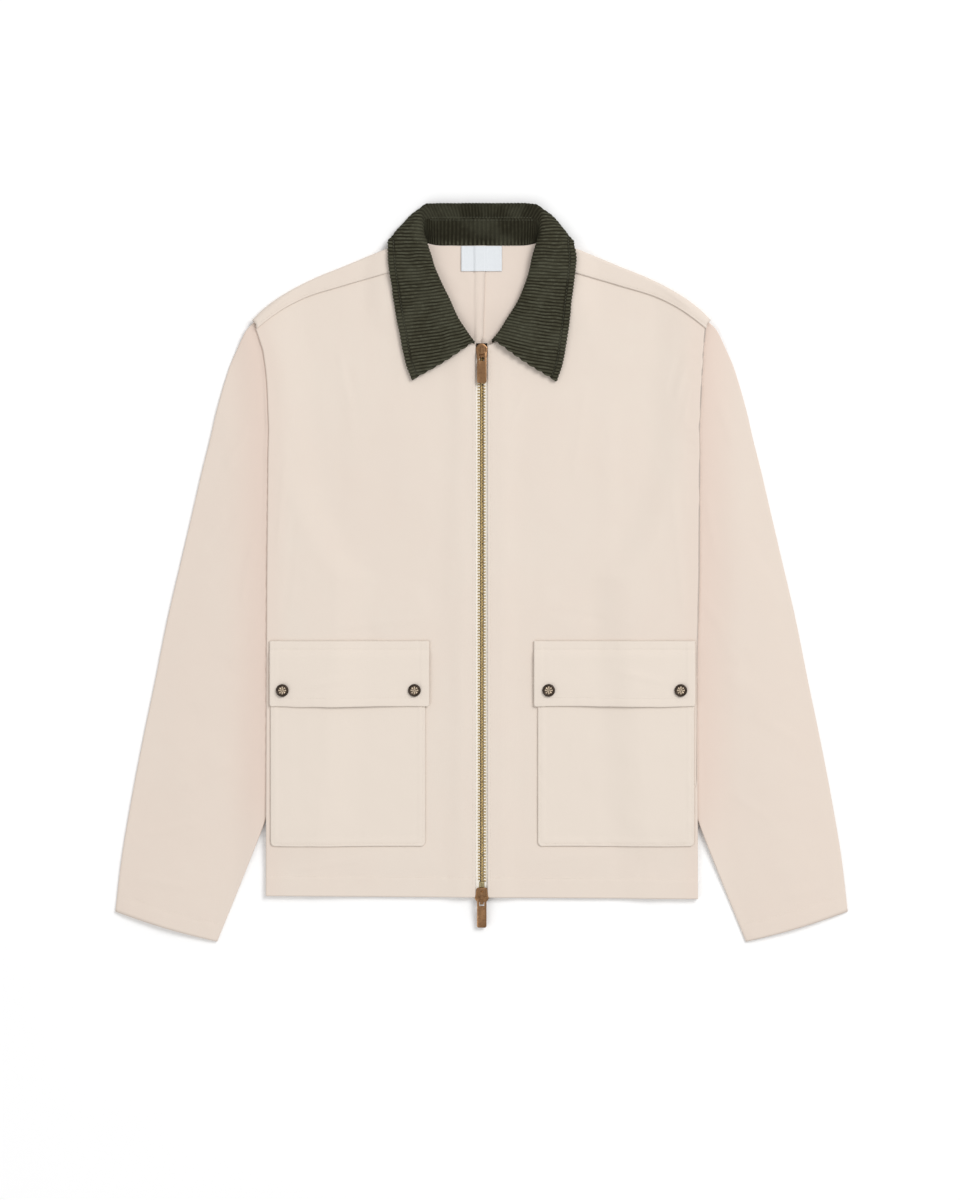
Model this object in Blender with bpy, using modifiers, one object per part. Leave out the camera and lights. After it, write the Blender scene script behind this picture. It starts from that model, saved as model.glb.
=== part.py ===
"""A cream denim jacket with a corduroy collar, laid flat on its back with its zip closed.

X runs across the jacket, towards the wearer's left. Y runs up from the hem to the collar. Z is up
from the table. Sizes are in millimetres until a mesh is made. side is -1 for the wearer's right
half and +1 for the left half. The panels lie on each other at the sides, from the table up: back,
back turned in, sleeve back, sleeve front, front turned in, front.
"""

import math

import bmesh
import bpy
import numpy as np

MM = 0.001

# The cut
HEM_Y = -341.5
HEM_SLOPE = -0.007
CHEST_HALF = 226.5
SHOULDER_TIP_Y = 264.5
NECK_BACK_Y = 343.5
NECK_HALF = 61.5
ZIP_TOP_Y = 238.0
ZIP_X = 0.25
FRONT_EDGE = 6.3
UNDERARM_Y = -5.0
APEX_Y = -254.6

# Cloth and how it lies
CLOTH = 1.2
PLY = 1.6
STRIP_RISE = 1.95
LOWEST = 0.6
FRONT_RISE = 2.8
ZIP_RISE = 2.2
RAMP = 44.0
NECK_RISE = 3.6
STACK_TOP = LOWEST + 5 * PLY
SLEEVE_BACK = LOWEST + 2 * PLY
SLEEVE_LOFT = 2.4
FOLD_RADIUS = PLY / 2

# Collar
CORDUROY = 1.8
WALE_HEIGHT = 0.55
WALES_EACH_SIDE = 54
STAND_SHARE = 0.62
SEAM = 0.7
COLLAR_LOWEST = 1.5

# Pockets, flaps and snaps
POCKET_TOP_Y = -96.0
POCKET_BOTTOM_Y = -287.5
POCKET_CORNER = 11.0
FLAP_TOP_Y = -72.0
FLAP_BOTTOM_Y = -140.8
FLAP_CORNER = 8.0
POCKET_OUTER = 221.4
POCKET_INNER = 59.2
FLAP_OUTER = 222.4
FLAP_INNER = 55.0
SNAP_Y = -123.8
SNAP_OUTER = 209.0
SNAP_INNER = 70.5
SNAP_RADIUS = 6.65
SNAP_HEIGHT = 2.6

# Zip
TAPE_WIDTH = 15.0
TAPE_THICK = 1.0
TAPE_Z = 4.1
CHAIN_WIDTH = 7.9
CHAIN_HEIGHT = 2.4
SLIDER_LENGTH = 15.5
PULL_LENGTH = 32.8
PULL_WIDTH = 10.0
PULL_THICK = 1.5
PULL_BAR = 2.0
PULL_WINDOW = 8.6
PULL_RAIL = 2.4
BRIDGE_WIDTH = 3.0
BRIDGE_WALL = 1.4
BRIDGE_NEAR = 1.7
BRIDGE_FAR = 6.6
PLATE_THICK = 1.0
LOWER_PLATE_Z = 1.6
UPPER_PLATE_Z = 6.6
WEDGE = 2.2
PIVOT_UP = 2.1
BOTTOM_PULL_DROOP = math.radians(9.0)

# Outline of one half: y, x of the sleeve's outer edge
SLEEVE_OUTER = np.array([
    (261.5, 239.5), (254.0, 246.8), (246.2, 250.9), (233.6, 256.7), (217.9, 263.6), (202.1, 268.8),
    (170.6, 277.7), (139.1, 285.0), (107.6, 293.0), (76.1, 300.3), (13.1, 315.0), (-49.9, 329.7),
    (-112.9, 342.3), (-175.9, 355.4), (-238.9, 367.5), (-301.9, 378.0), (-356.5, 384.4),
])
# y, x of the fold that the sleeve has on its inner side, from the underarm to the cuff
SLEEVE_INNER = np.array([
    (UNDERARM_Y, 155.0), (-70.0, 172.0), (-160.0, 197.5), (APEX_Y, 225.6), (-320.0, 251.0),
    (-387.9, 278.5),
])
# y, x of the visible edge of the front along the sleeve, and how wide the cloth turns in behind it
SIDE_FOLD = np.array([
    (HEM_Y, 226.2, 44.0), (-200.0, 225.6, 56.0), (UNDERARM_Y, 224.9, 69.5), (20.0, 224.6, 48.0),
    (60.0, 224.2, 27.5), (100.0, 223.8, 15.0), (150.0, 223.6, 8.5), (200.0, 226.6, 8.0),
    (233.0, 230.2, 8.0), (250.0, 234.4, 8.0), (258.5, 237.4, 8.0),
])
# x, y of the shoulder's fold, and of the seam in front of it, from the neck to the sleeve
SHOULDER_FOLD = np.array([
    (NECK_HALF, 350.6), (99.0, 339.6), (114.5, 333.6), (145.0, 321.0), (176.0, 308.4), (200.6, 295.8),
    (220.0, 283.2), (234.0, 271.4), (240.6, SHOULDER_TIP_Y),
])
SHOULDER_SEAM = np.array([
    (NECK_HALF, 326.0), (98.0, 314.8), (145.0, 301.4), (190.6, 286.4), (212.0, 274.4),
    (228.0, 262.6), (236.0, 256.0),
])
# x, y of the front's neck edge, from the shoulder seam to the zip
FRONT_NECK = np.array([
    (NECK_HALF, 326.0), (60.0, 311.0), (55.6, 292.0), (46.8, 272.0), (34.4, 256.2), (19.2, 244.6),
    (FRONT_EDGE, ZIP_TOP_Y),
])

# Collar sections on the wearer's right and left, from the back of the neck to the zip: x, y, z of
# the neck seam, of the crest where it rolls over, of the middle of the leaf, and of its outer edge,
# how far the stand bulges up between neck seam and crest, and how far the leaf rises past the crest
COLLAR_RIGHT = np.array([
    (0.0, 344.5, 4.2, 0.0, 386.6, 8.0, 0.0, 377.5, 2.2, 0.0, 328.0, 1.5, 6.4, -3.2),
    (28.0, 344.5, 4.2, 27.0, 386.6, 8.0, 28.0, 377.5, 2.2, 31.0, 328.0, 1.5, 6.4, -3.2),
    (49.0, 345.3, 4.4, 47.0, 386.4, 8.6, 51.0, 378.5, 2.3, 62.0, 329.0, 1.5, 6.0, -3.2),
    (57.0, 348.0, 5.0, 58.0, 384.0, 9.4, 69.8, 374.4, 2.8, 82.0, 333.0, 1.5, 4.6, -2.6),
    (59.0, 350.0, 6.4, 63.4, 376.0, 11.6, 81.4, 366.0, 4.4, 91.6, 346.6, 1.5, 2.8, -0.6),
    (59.3, 348.6, 8.0, 63.8, 363.0, 13.8, 87.0, 359.0, 8.6, 96.4, 348.2, 4.8, 1.4, 0.8),
    (59.3, 343.0, 8.6, 59.0, 348.6, 14.6, 80.0, 346.5, 14.4, 98.4, 341.2, 11.0, 0.2, 2.2),
    (59.8, 331.0, 8.4, 54.2, 334.0, 13.6, 77.5, 331.8, 14.6, 97.9, 329.0, 12.4, -0.6, 2.6),
    (58.4, 311.2, 7.0, 49.8, 319.6, 12.6, 74.2, 314.4, 13.6, 96.0, 311.4, 11.6, -0.8, 2.6),
    (54.0, 292.8, 7.0, 42.6, 303.2, 12.4, 68.6, 294.0, 12.0, 92.9, 291.4, 9.8, -0.8, 2.6),
    (45.5, 273.2, 6.0, 34.8, 287.2, 11.2, 61.6, 272.4, 10.4, 89.3, 270.4, 8.2, -0.8, 2.6),
    (33.3, 257.8, 4.9, 25.0, 266.2, 9.4, 53.0, 250.0, 9.2, 85.0, 246.6, 7.2, -0.6, 2.4),
    (18.6, 246.4, 5.4, 14.4, 250.2, 9.0, 44.0, 233.6, 8.8, 79.6, 219.0, 6.9, -0.4, 2.0),
    (7.2, 240.4, 5.8, 8.8, 242.2, 8.8, 37.0, 222.8, 8.8, 73.2, 202.2, 6.9, -0.2, 1.6),
])
COLLAR_LEFT = np.array([
    (0.0, 344.5, 4.2, 0.0, 386.6, 8.0, 0.0, 377.5, 2.2, 0.0, 328.0, 1.5, 6.4, -3.2),
    (28.0, 344.5, 4.2, 27.0, 386.6, 8.0, 28.0, 377.5, 2.2, 31.0, 328.0, 1.5, 6.4, -3.2),
    (49.0, 345.3, 4.4, 48.0, 386.2, 8.6, 53.0, 378.0, 2.3, 63.0, 329.0, 1.5, 6.0, -3.2),
    (57.0, 348.0, 5.0, 58.4, 382.8, 9.4, 71.8, 373.4, 2.8, 83.0, 333.0, 1.5, 4.6, -2.6),
    (59.0, 350.0, 6.4, 63.6, 374.0, 11.6, 83.0, 364.0, 4.4, 92.8, 346.4, 1.5, 2.8, -0.6),
    (59.3, 348.6, 8.0, 64.0, 361.4, 13.8, 88.4, 357.0, 8.6, 97.4, 347.8, 4.8, 1.4, 0.8),
    (59.3, 343.0, 8.6, 59.0, 347.0, 14.6, 82.0, 345.5, 14.4, 99.4, 340.8, 11.0, 0.2, 2.2),
    (59.8, 331.0, 8.4, 54.4, 332.4, 13.6, 78.6, 331.0, 14.6, 99.2, 328.6, 12.4, -0.6, 2.6),
    (58.4, 311.2, 7.0, 51.0, 316.8, 12.6, 76.0, 313.6, 13.6, 97.6, 311.0, 11.6, -0.8, 2.6),
    (54.0, 292.8, 7.0, 45.0, 298.4, 12.4, 71.4, 293.0, 12.0, 95.4, 291.0, 9.8, -0.8, 2.6),
    (45.5, 273.2, 6.0, 36.8, 280.4, 11.2, 65.0, 271.0, 10.4, 92.8, 270.0, 8.2, -0.8, 2.6),
    (33.3, 257.8, 4.9, 27.2, 265.4, 9.4, 57.6, 249.4, 9.2, 89.6, 246.0, 7.2, -0.6, 2.4),
    (18.8, 246.6, 5.4, 18.2, 251.4, 9.0, 49.6, 233.0, 8.8, 85.0, 217.6, 6.9, -0.4, 2.0),
    (11.0, 241.6, 5.6, 12.4, 244.4, 9.8, 45.0, 221.4, 8.8, 79.0, 200.8, 6.9, -0.2, 1.6),
])
ROLL_SHARE = 0.16

# Soft folds that the fronts and sleeves hold: x, y of one end, x, y of the other, width, height
BODY_FOLDS = np.array([
    (90.0, 190.0, 60.0, 60.0, 26.0, 1.1), (150.0, 180.0, 178.0, -30.0, 34.0, 1.3),
    (205.0, 215.0, 190.0, 150.0, 7.0, 0.9), (212.0, 228.0, 203.0, 175.0, 5.0, 0.8),
    (60.0, -30.0, 110.0, -60.0, 22.0, 0.9), (40.0, -300.0, 190.0, -306.0, 16.0, 0.8),
])
SLEEVE_FOLDS = np.array([
    (262.0, 190.0, 290.0, -40.0, 22.0, 1.0), (252.0, 120.0, 272.0, -150.0, 20.0, 0.8),
    (300.0, 0.0, 318.0, -230.0, 24.0, 0.9), (282.0, -180.0, 330.0, -330.0, 26.0, 0.9),
    (240.0, -40.0, 268.0, -90.0, 12.0, 0.6), (262.0, -110.0, 300.0, -140.0, 12.0, 0.6),
])


def eased(value):
    """0 below 0, 1 above 1, and a smooth rise between."""
    share = np.clip(value, 0.0, 1.0)
    return share * share * (3.0 - 2.0 * share)


def along(points, shares):
    """Points on a smooth curve through the given ones, at shares 0 to 1 of its length."""
    points = np.asarray(points, float)
    steps = np.linalg.norm(np.diff(points[:, :3], axis=0), axis=1)
    knots = np.concatenate([[0.0], np.cumsum(steps)]) / steps.sum()
    slopes = np.gradient(points, knots, axis=0)
    shares = np.asarray(shares, float)
    at = np.clip(np.searchsorted(knots, shares, side="right") - 1, 0, len(knots) - 2)
    span = (knots[at + 1] - knots[at])[:, None]
    t = (shares - knots[at])[:, None] / span
    return (
        (2 * t**3 - 3 * t**2 + 1) * points[at] + (t**3 - 2 * t**2 + t) * span * slopes[at]
        + (3 * t**2 - 2 * t**3) * points[at + 1] + (t**3 - t**2) * span * slopes[at + 1]
    )


def read_off(table, at, column=1):
    """The table's column at values of its first column, on straight runs between rows."""
    order = np.argsort(table[:, 0])
    return np.interp(at, table[order, 0], table[order, column])


def patch(bottom, top, left, right):
    """A grid of points between four edges that meet at its corners: rows go from bottom to top."""
    u = np.linspace(0.0, 1.0, len(bottom))[None, :, None]
    v = np.linspace(0.0, 1.0, len(left))[:, None, None]
    return (
        (1 - v) * bottom[None] + v * top[None] + (1 - u) * left[:, None] + u * right[:, None]
        - (1 - u) * (1 - v) * bottom[0] - u * (1 - v) * bottom[-1] - (1 - u) * v * top[0] - u * v * top[-1]
    )


def soft_folds(x, y, folds):
    """Height of low ridges along straight lines, each faded across its width and at its ends."""
    height = np.zeros_like(x)
    for x0, y0, x1, y1, width, high in folds:
        run = math.hypot(x1 - x0, y1 - y0)
        forward = ((x - x0) * (x1 - x0) + (y - y0) * (y1 - y0)) / run**2
        across = ((x - x0) * (y1 - y0) - (y - y0) * (x1 - x0)) / run
        ends = eased(forward / 0.3 + 0.5) * eased((1 - forward) / 0.3 + 0.5)
        height += high * np.exp(-((across / width) ** 2)) * ends
    return height


def cell_faces(rows, columns, keep=None, around=False):
    """Corner numbers of a grid's cells, the last column joined to the first where it goes around."""
    across = np.arange(columns if around else columns - 1)
    i, j = np.meshgrid(np.arange(rows - 1), across, indexing="ij")
    right = (j + 1) % columns
    here, above = i * columns, (i + 1) * columns
    corners = np.stack([here + j, here + right, above + right, above + j], -1)
    return corners.reshape(-1, 4) if keep is None else corners[keep]


def height_on(grid, x, y):
    """Height of a sheet's own faces at x, y: each cell is split into two triangles."""
    corners = cell_faces(*grid.shape[:2])
    points = grid.reshape(-1, 3)
    triangles = np.concatenate([corners[:, [0, 1, 2]], corners[:, [0, 2, 3]]])
    a, b, c = (points[triangles[:, k]] for k in range(3))
    flat_x, flat_y = np.ravel(x)[:, None], np.ravel(y)[:, None]
    span = (b[:, 0] - a[:, 0]) * (c[:, 1] - a[:, 1]) - (c[:, 0] - a[:, 0]) * (b[:, 1] - a[:, 1])
    to_b = ((flat_x - a[:, 0]) * (c[:, 1] - a[:, 1]) - (c[:, 0] - a[:, 0]) * (flat_y - a[:, 1])) / span
    to_c = ((b[:, 0] - a[:, 0]) * (flat_y - a[:, 1]) - (flat_x - a[:, 0]) * (b[:, 1] - a[:, 1])) / span
    best = np.argmax(np.minimum(np.minimum(to_b, to_c), 1 - to_b - to_c), axis=1)
    rows = np.arange(len(best))
    wb, wc = to_b[rows, best], to_c[rows, best]
    z = a[best, 2] * (1 - wb - wc) + b[best, 2] * wb + c[best, 2] * wc
    return z.reshape(np.shape(x))


# ---------------------------------------------------------------- how high the cloth lies

def side_x(y):
    return read_off(SIDE_FOLD, y)


def turned_in(y):
    return read_off(SIDE_FOLD, y, 2)


def sleeve_gone(y):
    """1 below the sleeve's way out of the side, where front and back lie on each other again."""
    return eased((APEX_Y - 8.0 - y) / 55.0)


def back_height(x, y):
    """Mid-height of the back: on the table, raised where the collar lies under it."""
    near_neck = eased((y - 246.0) / 42.0) * eased((126.0 - np.abs(x)) / 24.0)
    return LOWEST + NECK_RISE * near_neck


def front_height(x, y):
    """Mid-height of the front: over the zip, over the back, and up onto the side's layers."""
    x = np.abs(x)
    base = back_height(x, y) + FRONT_RISE + soft_folds(x, y, BODY_FOLDS) * eased((150.0 - x) / 20.0)
    base = base + ZIP_RISE * np.exp(-((np.maximum(x - 20.0, 0.0) / 13.0) ** 2))
    edge = side_x(y) - turned_in(y)
    rise = eased((x - edge + RAMP + 1.0) / RAMP)
    top = STACK_TOP - 2 * PLY * sleeve_gone(y)
    return base * (1 - rise) + top * rise


def under_collar(front, x, y):
    """Top face of what the collar's fronts lie on."""
    seam_y = np.interp(x, SHOULDER_SEAM[:, 0], SHOULDER_SEAM[:, 1])
    return height_on(front, x, y) + CLOTH / 2 + STRIP_RISE * eased((y - seam_y + 5.0) / 4.0)


# ---------------------------------------------------------------- meshes and materials

def finish(name, colour, roughness, metallic=0.0):
    material = bpy.data.materials.new(name)
    material.use_nodes = True
    shader = material.node_tree.nodes["Principled BSDF"]
    shader.inputs["Base Color"].default_value = (*colour, 1.0)
    shader.inputs["Roughness"].default_value = roughness
    shader.inputs["Metallic"].default_value = metallic
    material.diffuse_color = (*colour, 1.0)
    return material


def place(obj, material):
    """Puts the object in the jacket's collection with its own material."""
    obj.data.materials.clear()
    obj.data.materials.append(material)
    jacket.objects.link(obj)
    return obj


def cloth_sheet(name, grid, material, keep=None, around=False, thick=CLOTH):
    """A sheet of cloth: the grid's cells as an open surface, made a wall by Solidify."""
    rows, columns = grid.shape[:2]
    faces = cell_faces(rows, columns, keep, around)
    used, numbers = np.unique(faces, return_inverse=True)
    mesh = bpy.data.meshes.new(name)
    mesh.from_pydata((grid.reshape(-1, 3)[used] * MM).tolist(), [], numbers.reshape(-1, 4).tolist())
    mesh.shade_smooth()
    sheet = bpy.data.objects.new(name, mesh)
    solidify = sheet.modifiers.new("cloth", "SOLIDIFY")
    solidify.thickness = thick * MM
    solidify.offset = 0.0
    return place(sheet, material)


def grid_normals(grid):
    du = np.gradient(grid, axis=1)
    dv = np.gradient(grid, axis=0)
    normals = np.cross(du, dv)
    return normals / np.linalg.norm(normals, axis=2, keepdims=True)


def ribbed_wall(name, grid, normals, wales, material, plain_step=4):
    """A wall whose outer points rise and fall in wales across its columns, over a plain inside.

    The outer grid has two columns a wale, and the inside has one for every plain_step of them. The
    long rims join one inner edge to several outer ones."""
    rows, columns = grid.shape[:2]
    ridge = (np.arange(columns) % 2)[None, :] * WALE_HEIGHT * wales
    outer = grid + normals * (CORDUROY / 2 + ridge)[..., None]
    inner = (grid - normals * CORDUROY / 2)[:, ::plain_step]
    few = inner.shape[1]
    points = np.concatenate([outer.reshape(-1, 3), inner.reshape(-1, 3)])
    faces = cell_faces(rows, columns).tolist()
    base = rows * columns
    faces += (cell_faces(rows, few)[:, ::-1] + base).tolist()
    for row, turn in ((0, 1), (rows - 1, -1)):
        for j in range(few - 1):
            edge = [row * columns + k for k in range(j * plain_step, (j + 1) * plain_step + 1)]
            rim = [base + row * few + j, base + row * few + j + 1] + edge[::-1]
            faces.append(rim[::turn])
    for outer_column, inner_column, turn in ((0, 0, -1), (columns - 1, few - 1, 1)):
        for i in range(rows - 1):
            rim = [
                base + i * few + inner_column, base + (i + 1) * few + inner_column,
                (i + 1) * columns + outer_column, i * columns + outer_column,
            ]
            faces.append(rim[::turn])
    mesh = bpy.data.meshes.new(name)
    mesh.from_pydata((points * MM).tolist(), [], faces)
    mesh.shade_smooth()
    return place(bpy.data.objects.new(name, mesh), material)


def sided(grid, side):
    """The grid on its own half, with its columns turned on the right half so that it faces up."""
    if side > 0:
        return grid
    mirrored = grid * np.array([-1.0, 1.0, 1.0])
    return mirrored[:, ::-1]


def sided_cells(keep, side):
    return keep if side > 0 else keep[:, ::-1]


def fold_over(edge, outward, low, high, steps):
    """Rows round a half circle from height low to height high, bulging to the edge along outward."""
    radius = (high - low) / 2
    turn = np.linspace(-math.pi / 2, math.pi / 2, steps)
    rows = []
    for angle in turn:
        point = edge - outward * radius[:, None] * (1 - math.cos(angle))
        height = (low + high) / 2 + radius * math.sin(angle)
        rows.append(np.column_stack([point, height]))
    return np.array(rows)


# ---------------------------------------------------------------- fronts and backs

BODY_ROWS = 15
NECK_COLUMNS_X = np.array([FRONT_EDGE, 20.0, 33.5, 46.8, 56.5, NECK_HALF])
NECK_COLUMNS = len(NECK_COLUMNS_X)
SHOULDER_COLUMNS = 10
TURN_STEPS = 3


def shoulder_shares():
    """Shares from neck to sleeve, closer together where the fronts climb onto the side's layers."""
    even = np.linspace(0.0, 1.0, SHOULDER_COLUMNS)
    return even + 0.065 * np.sin(2 * math.pi * even)


def column_shares():
    """Shares across a panel: its neck columns, then its shoulder columns."""
    neck = (NECK_COLUMNS_X - FRONT_EDGE) / (CHEST_HALF - FRONT_EDGE)
    return np.concatenate([neck, neck[-1] + (1 - neck[-1]) * shoulder_shares()[1:]])


def turn_in(grid, turned_height):
    """Adds the side's fold and the cloth turned in behind it, as columns after the grid's last."""
    edge = grid[:, -1]
    y = edge[:, 1]
    width = turned_in(y)
    low, high = edge[:, 2], turned_height(y, 0.0 * y)
    columns = []
    for angle in np.linspace(-math.pi / 2, math.pi / 2, TURN_STEPS + 1)[1:]:
        x = edge[:, 0] + FOLD_RADIUS * math.cos(angle)
        z = (low + high) / 2 + (high - low) / 2 * math.sin(angle)
        columns.append(np.column_stack([x, y, z]))
    for share in (0.45, 0.9, 1.0):
        inward = width * share
        z = turned_height(y, inward / width * eased((-y - 30.0) / 60.0))
        columns.append(np.column_stack([edge[:, 0] - (inward - FOLD_RADIUS).clip(0.4), y, z]))
    return np.concatenate([grid, np.stack(columns, axis=1)], axis=1)


def front_turned_height(y, dip):
    """Height of the front's turned-in cloth, which dips to the back's at the side seam."""
    top = LOWEST + 4 * PLY - 2 * PLY * sleeve_gone(y)
    return top - (top - LOWEST - 2 * PLY) * eased((dip - 0.9) / 0.1)


def side_edge(rows, top):
    """x, y up the panel's side, just inside the fold."""
    y = np.linspace(HEM_Y + HEM_SLOPE * CHEST_HALF, top, rows)
    return np.column_stack([side_x(y) - FOLD_RADIUS, y])


def make_front(side):
    name = "front_left" if side > 0 else "front_right"
    shares = column_shares()
    hem_x = FRONT_EDGE + (side_x(HEM_Y) - FOLD_RADIUS - FRONT_EDGE) * shares
    hem = np.column_stack([hem_x, HEM_Y + HEM_SLOPE * hem_x * side])
    curve = along(FRONT_NECK[::-1], np.linspace(0, 1, 80))
    neck = np.column_stack([NECK_COLUMNS_X, np.interp(NECK_COLUMNS_X, curve[:, 0], curve[:, 1])])
    seam = along(SHOULDER_SEAM, shoulder_shares())[1:]
    tuck = np.linspace(6.5, 2.0, SHOULDER_COLUMNS - 1)
    seam = seam + np.column_stack([tuck * 0.32, tuck * 0.95])
    seam[-1] = (side_x(257.0) - FOLD_RADIUS, 257.0)
    top = np.concatenate([neck, seam])
    centre = np.column_stack([
        np.full(BODY_ROWS, FRONT_EDGE), np.linspace(hem[0, 1], top[0, 1], BODY_ROWS)
    ])
    edge = side_edge(BODY_ROWS, 257.0)
    edge[0] = hem[-1]
    plan = patch(hem, top, centre, edge)
    grid = np.dstack([plan, front_height(plan[..., 0], plan[..., 1])])
    cloth_sheet(name, sided(turn_in(grid, front_turned_height), side), cream)
    return grid


def make_back(side, front):
    name = "back_left" if side > 0 else "back_right"
    shares = column_shares()
    middle = SEAM / 2
    hem_x = middle + (side_x(HEM_Y) - FOLD_RADIUS - middle) * shares
    hem = np.column_stack([hem_x, HEM_Y + HEM_SLOPE * hem_x * side])
    neck = along([(middle, NECK_BACK_Y), (30.0, NECK_BACK_Y), (50.0, 344.2), (NECK_HALF - 1.0, 347.0)],
                 np.linspace(0, 1, NECK_COLUMNS))
    fold = along(SHOULDER_FOLD, shoulder_shares())
    slope = np.gradient(fold, axis=0)
    outward = np.column_stack([-slope[:, 1], slope[:, 0]])
    outward = outward / np.linalg.norm(outward, axis=1, keepdims=True)
    low = back_height(fold[:, 0], fold[:, 1] - 4.0)
    high = height_on(front, fold[:, 0], fold[:, 1] - 9.0) + STRIP_RISE
    bend = fold_over(fold, outward, low, high, 6)
    top = np.concatenate([neck[:-1], bend[0, :, :2]])
    centre = np.column_stack([np.full(BODY_ROWS, middle), np.linspace(hem[0, 1], top[0, 1], BODY_ROWS)])
    edge = side_edge(BODY_ROWS, top[-1, 1])
    edge[0] = hem[-1]
    edge[-1] = top[-1]
    plan = patch(hem, top, centre, edge)
    grid = np.dstack([plan, back_height(plan[..., 0], plan[..., 1])])
    grid[-1, NECK_COLUMNS - 1 :, 2] = low
    turned = grid[:, -1, 2] + PLY
    grid = turn_in(grid, lambda y, dip: turned)
    extra = grid.shape[1] - len(shares)
    seam = along(SHOULDER_SEAM, shoulder_shares())
    strip = [bend[k] for k in range(1, len(bend))]
    for share in (0.35, 0.7, 1.0):
        flat = bend[-1, :, :2] * (1 - share) + seam * share
        z = height_on(front, flat[:, 0], flat[:, 1]) + STRIP_RISE
        mix = eased(share / 0.35)
        strip.append(np.column_stack([flat, z * mix + bend[-1, :, 2] * (1 - mix)]))
    rows = []
    for row in strip:
        full = np.repeat(row[:1], grid.shape[1], axis=0)
        full[NECK_COLUMNS - 1 : NECK_COLUMNS - 1 + SHOULDER_COLUMNS] = row
        full[NECK_COLUMNS - 1 + SHOULDER_COLUMNS :] = row[-1]
        rows.append(full)
    grid = np.concatenate([grid, np.array(rows)])
    keep = np.ones((grid.shape[0] - 1, grid.shape[1] - 1), bool)
    keep[BODY_ROWS - 1 :, : NECK_COLUMNS - 1] = False
    keep[BODY_ROWS - 1 :, grid.shape[1] - 1 - extra :] = False
    cloth_sheet(name, sided(grid, side), cream, sided_cells(keep, side))
    return grid[:BODY_ROWS, : len(shares)]


# ---------------------------------------------------------------- sleeves

SLEEVE_ROWS = 15
SLEEVE_COLUMNS = 8


def make_sleeve(side):
    """A tube from the armhole to the cuff: a front sheet, its outer fold, a back sheet, its inner fold."""
    name = "sleeve_left" if side > 0 else "sleeve_right"
    down = np.linspace(0, 1, SLEEVE_ROWS) ** 1.3
    outer = along(SLEEVE_OUTER[:, ::-1], down)
    inner = along(SLEEVE_INNER[:, ::-1], down)
    armhole_y = np.array([UNDERARM_Y, 20.0, 60.0, 100.0, 150.0, 200.0, 233.0, 250.0])
    armhole = np.column_stack([side_x(armhole_y) - turned_in(armhole_y), armhole_y])
    armhole = along(np.concatenate([armhole, outer[:1]]), np.linspace(0, 1, SLEEVE_COLUMNS))
    cuff = np.linspace(inner[-1], outer[-1], SLEEVE_COLUMNS)
    cuff[:, 1] -= 2.0 * np.sin(np.linspace(0, math.pi, SLEEVE_COLUMNS))
    plan = patch(armhole, cuff, inner, outer)
    x, y = plan[..., 0], plan[..., 1]
    clear = eased((x - side_x(y) - 8.0) / 30.0)
    across = np.linspace(0, 1, SLEEVE_COLUMNS)[None, :]
    loft = clear * (SLEEVE_LOFT * np.sin(math.pi * across) ** 0.8 + soft_folds(x, y, SLEEVE_FOLDS))
    back = SLEEVE_BACK * (1 - clear) + LOWEST * clear
    front = back + PLY + loft
    radius = PLY / 2
    front_sheet = np.dstack([plan, front])
    back_sheet = np.dstack([plan, back])[:, ::-1]
    outwards = outer - inner
    outwards = outwards / np.linalg.norm(outwards, axis=1, keepdims=True)
    def cap(edge_plan, direction, low, first, last):
        rows = []
        for angle in np.linspace(first, last, 4)[1:-1]:
            rows.append(np.column_stack([
                edge_plan + direction * radius * math.cos(angle),
                low + radius + radius * math.sin(angle),
            ]))
        return np.stack(rows, axis=1)
    half = math.pi / 2
    outer_cap = cap(outer - outwards * radius, outwards, back[:, -1], half, -half)
    inner_cap = cap(inner + outwards * radius, -outwards, back[:, 0], -half, half)
    front_sheet[:, -1, :2] = outer - outwards * radius
    back_sheet[:, 0, :2] = outer - outwards * radius
    front_sheet[:, 0, :2] = inner + outwards * radius
    back_sheet[:, -1, :2] = inner + outwards * radius
    ring = np.concatenate([front_sheet, outer_cap, back_sheet, inner_cap], axis=1)
    ring = ring[::-1]
    if side < 0:
        ring = (ring * np.array([-1.0, 1.0, 1.0]))[:, ::-1]
    return cloth_sheet(name, ring, cream, around=True)


# ---------------------------------------------------------------- collar

SECTION_STEPS = 60


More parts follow.
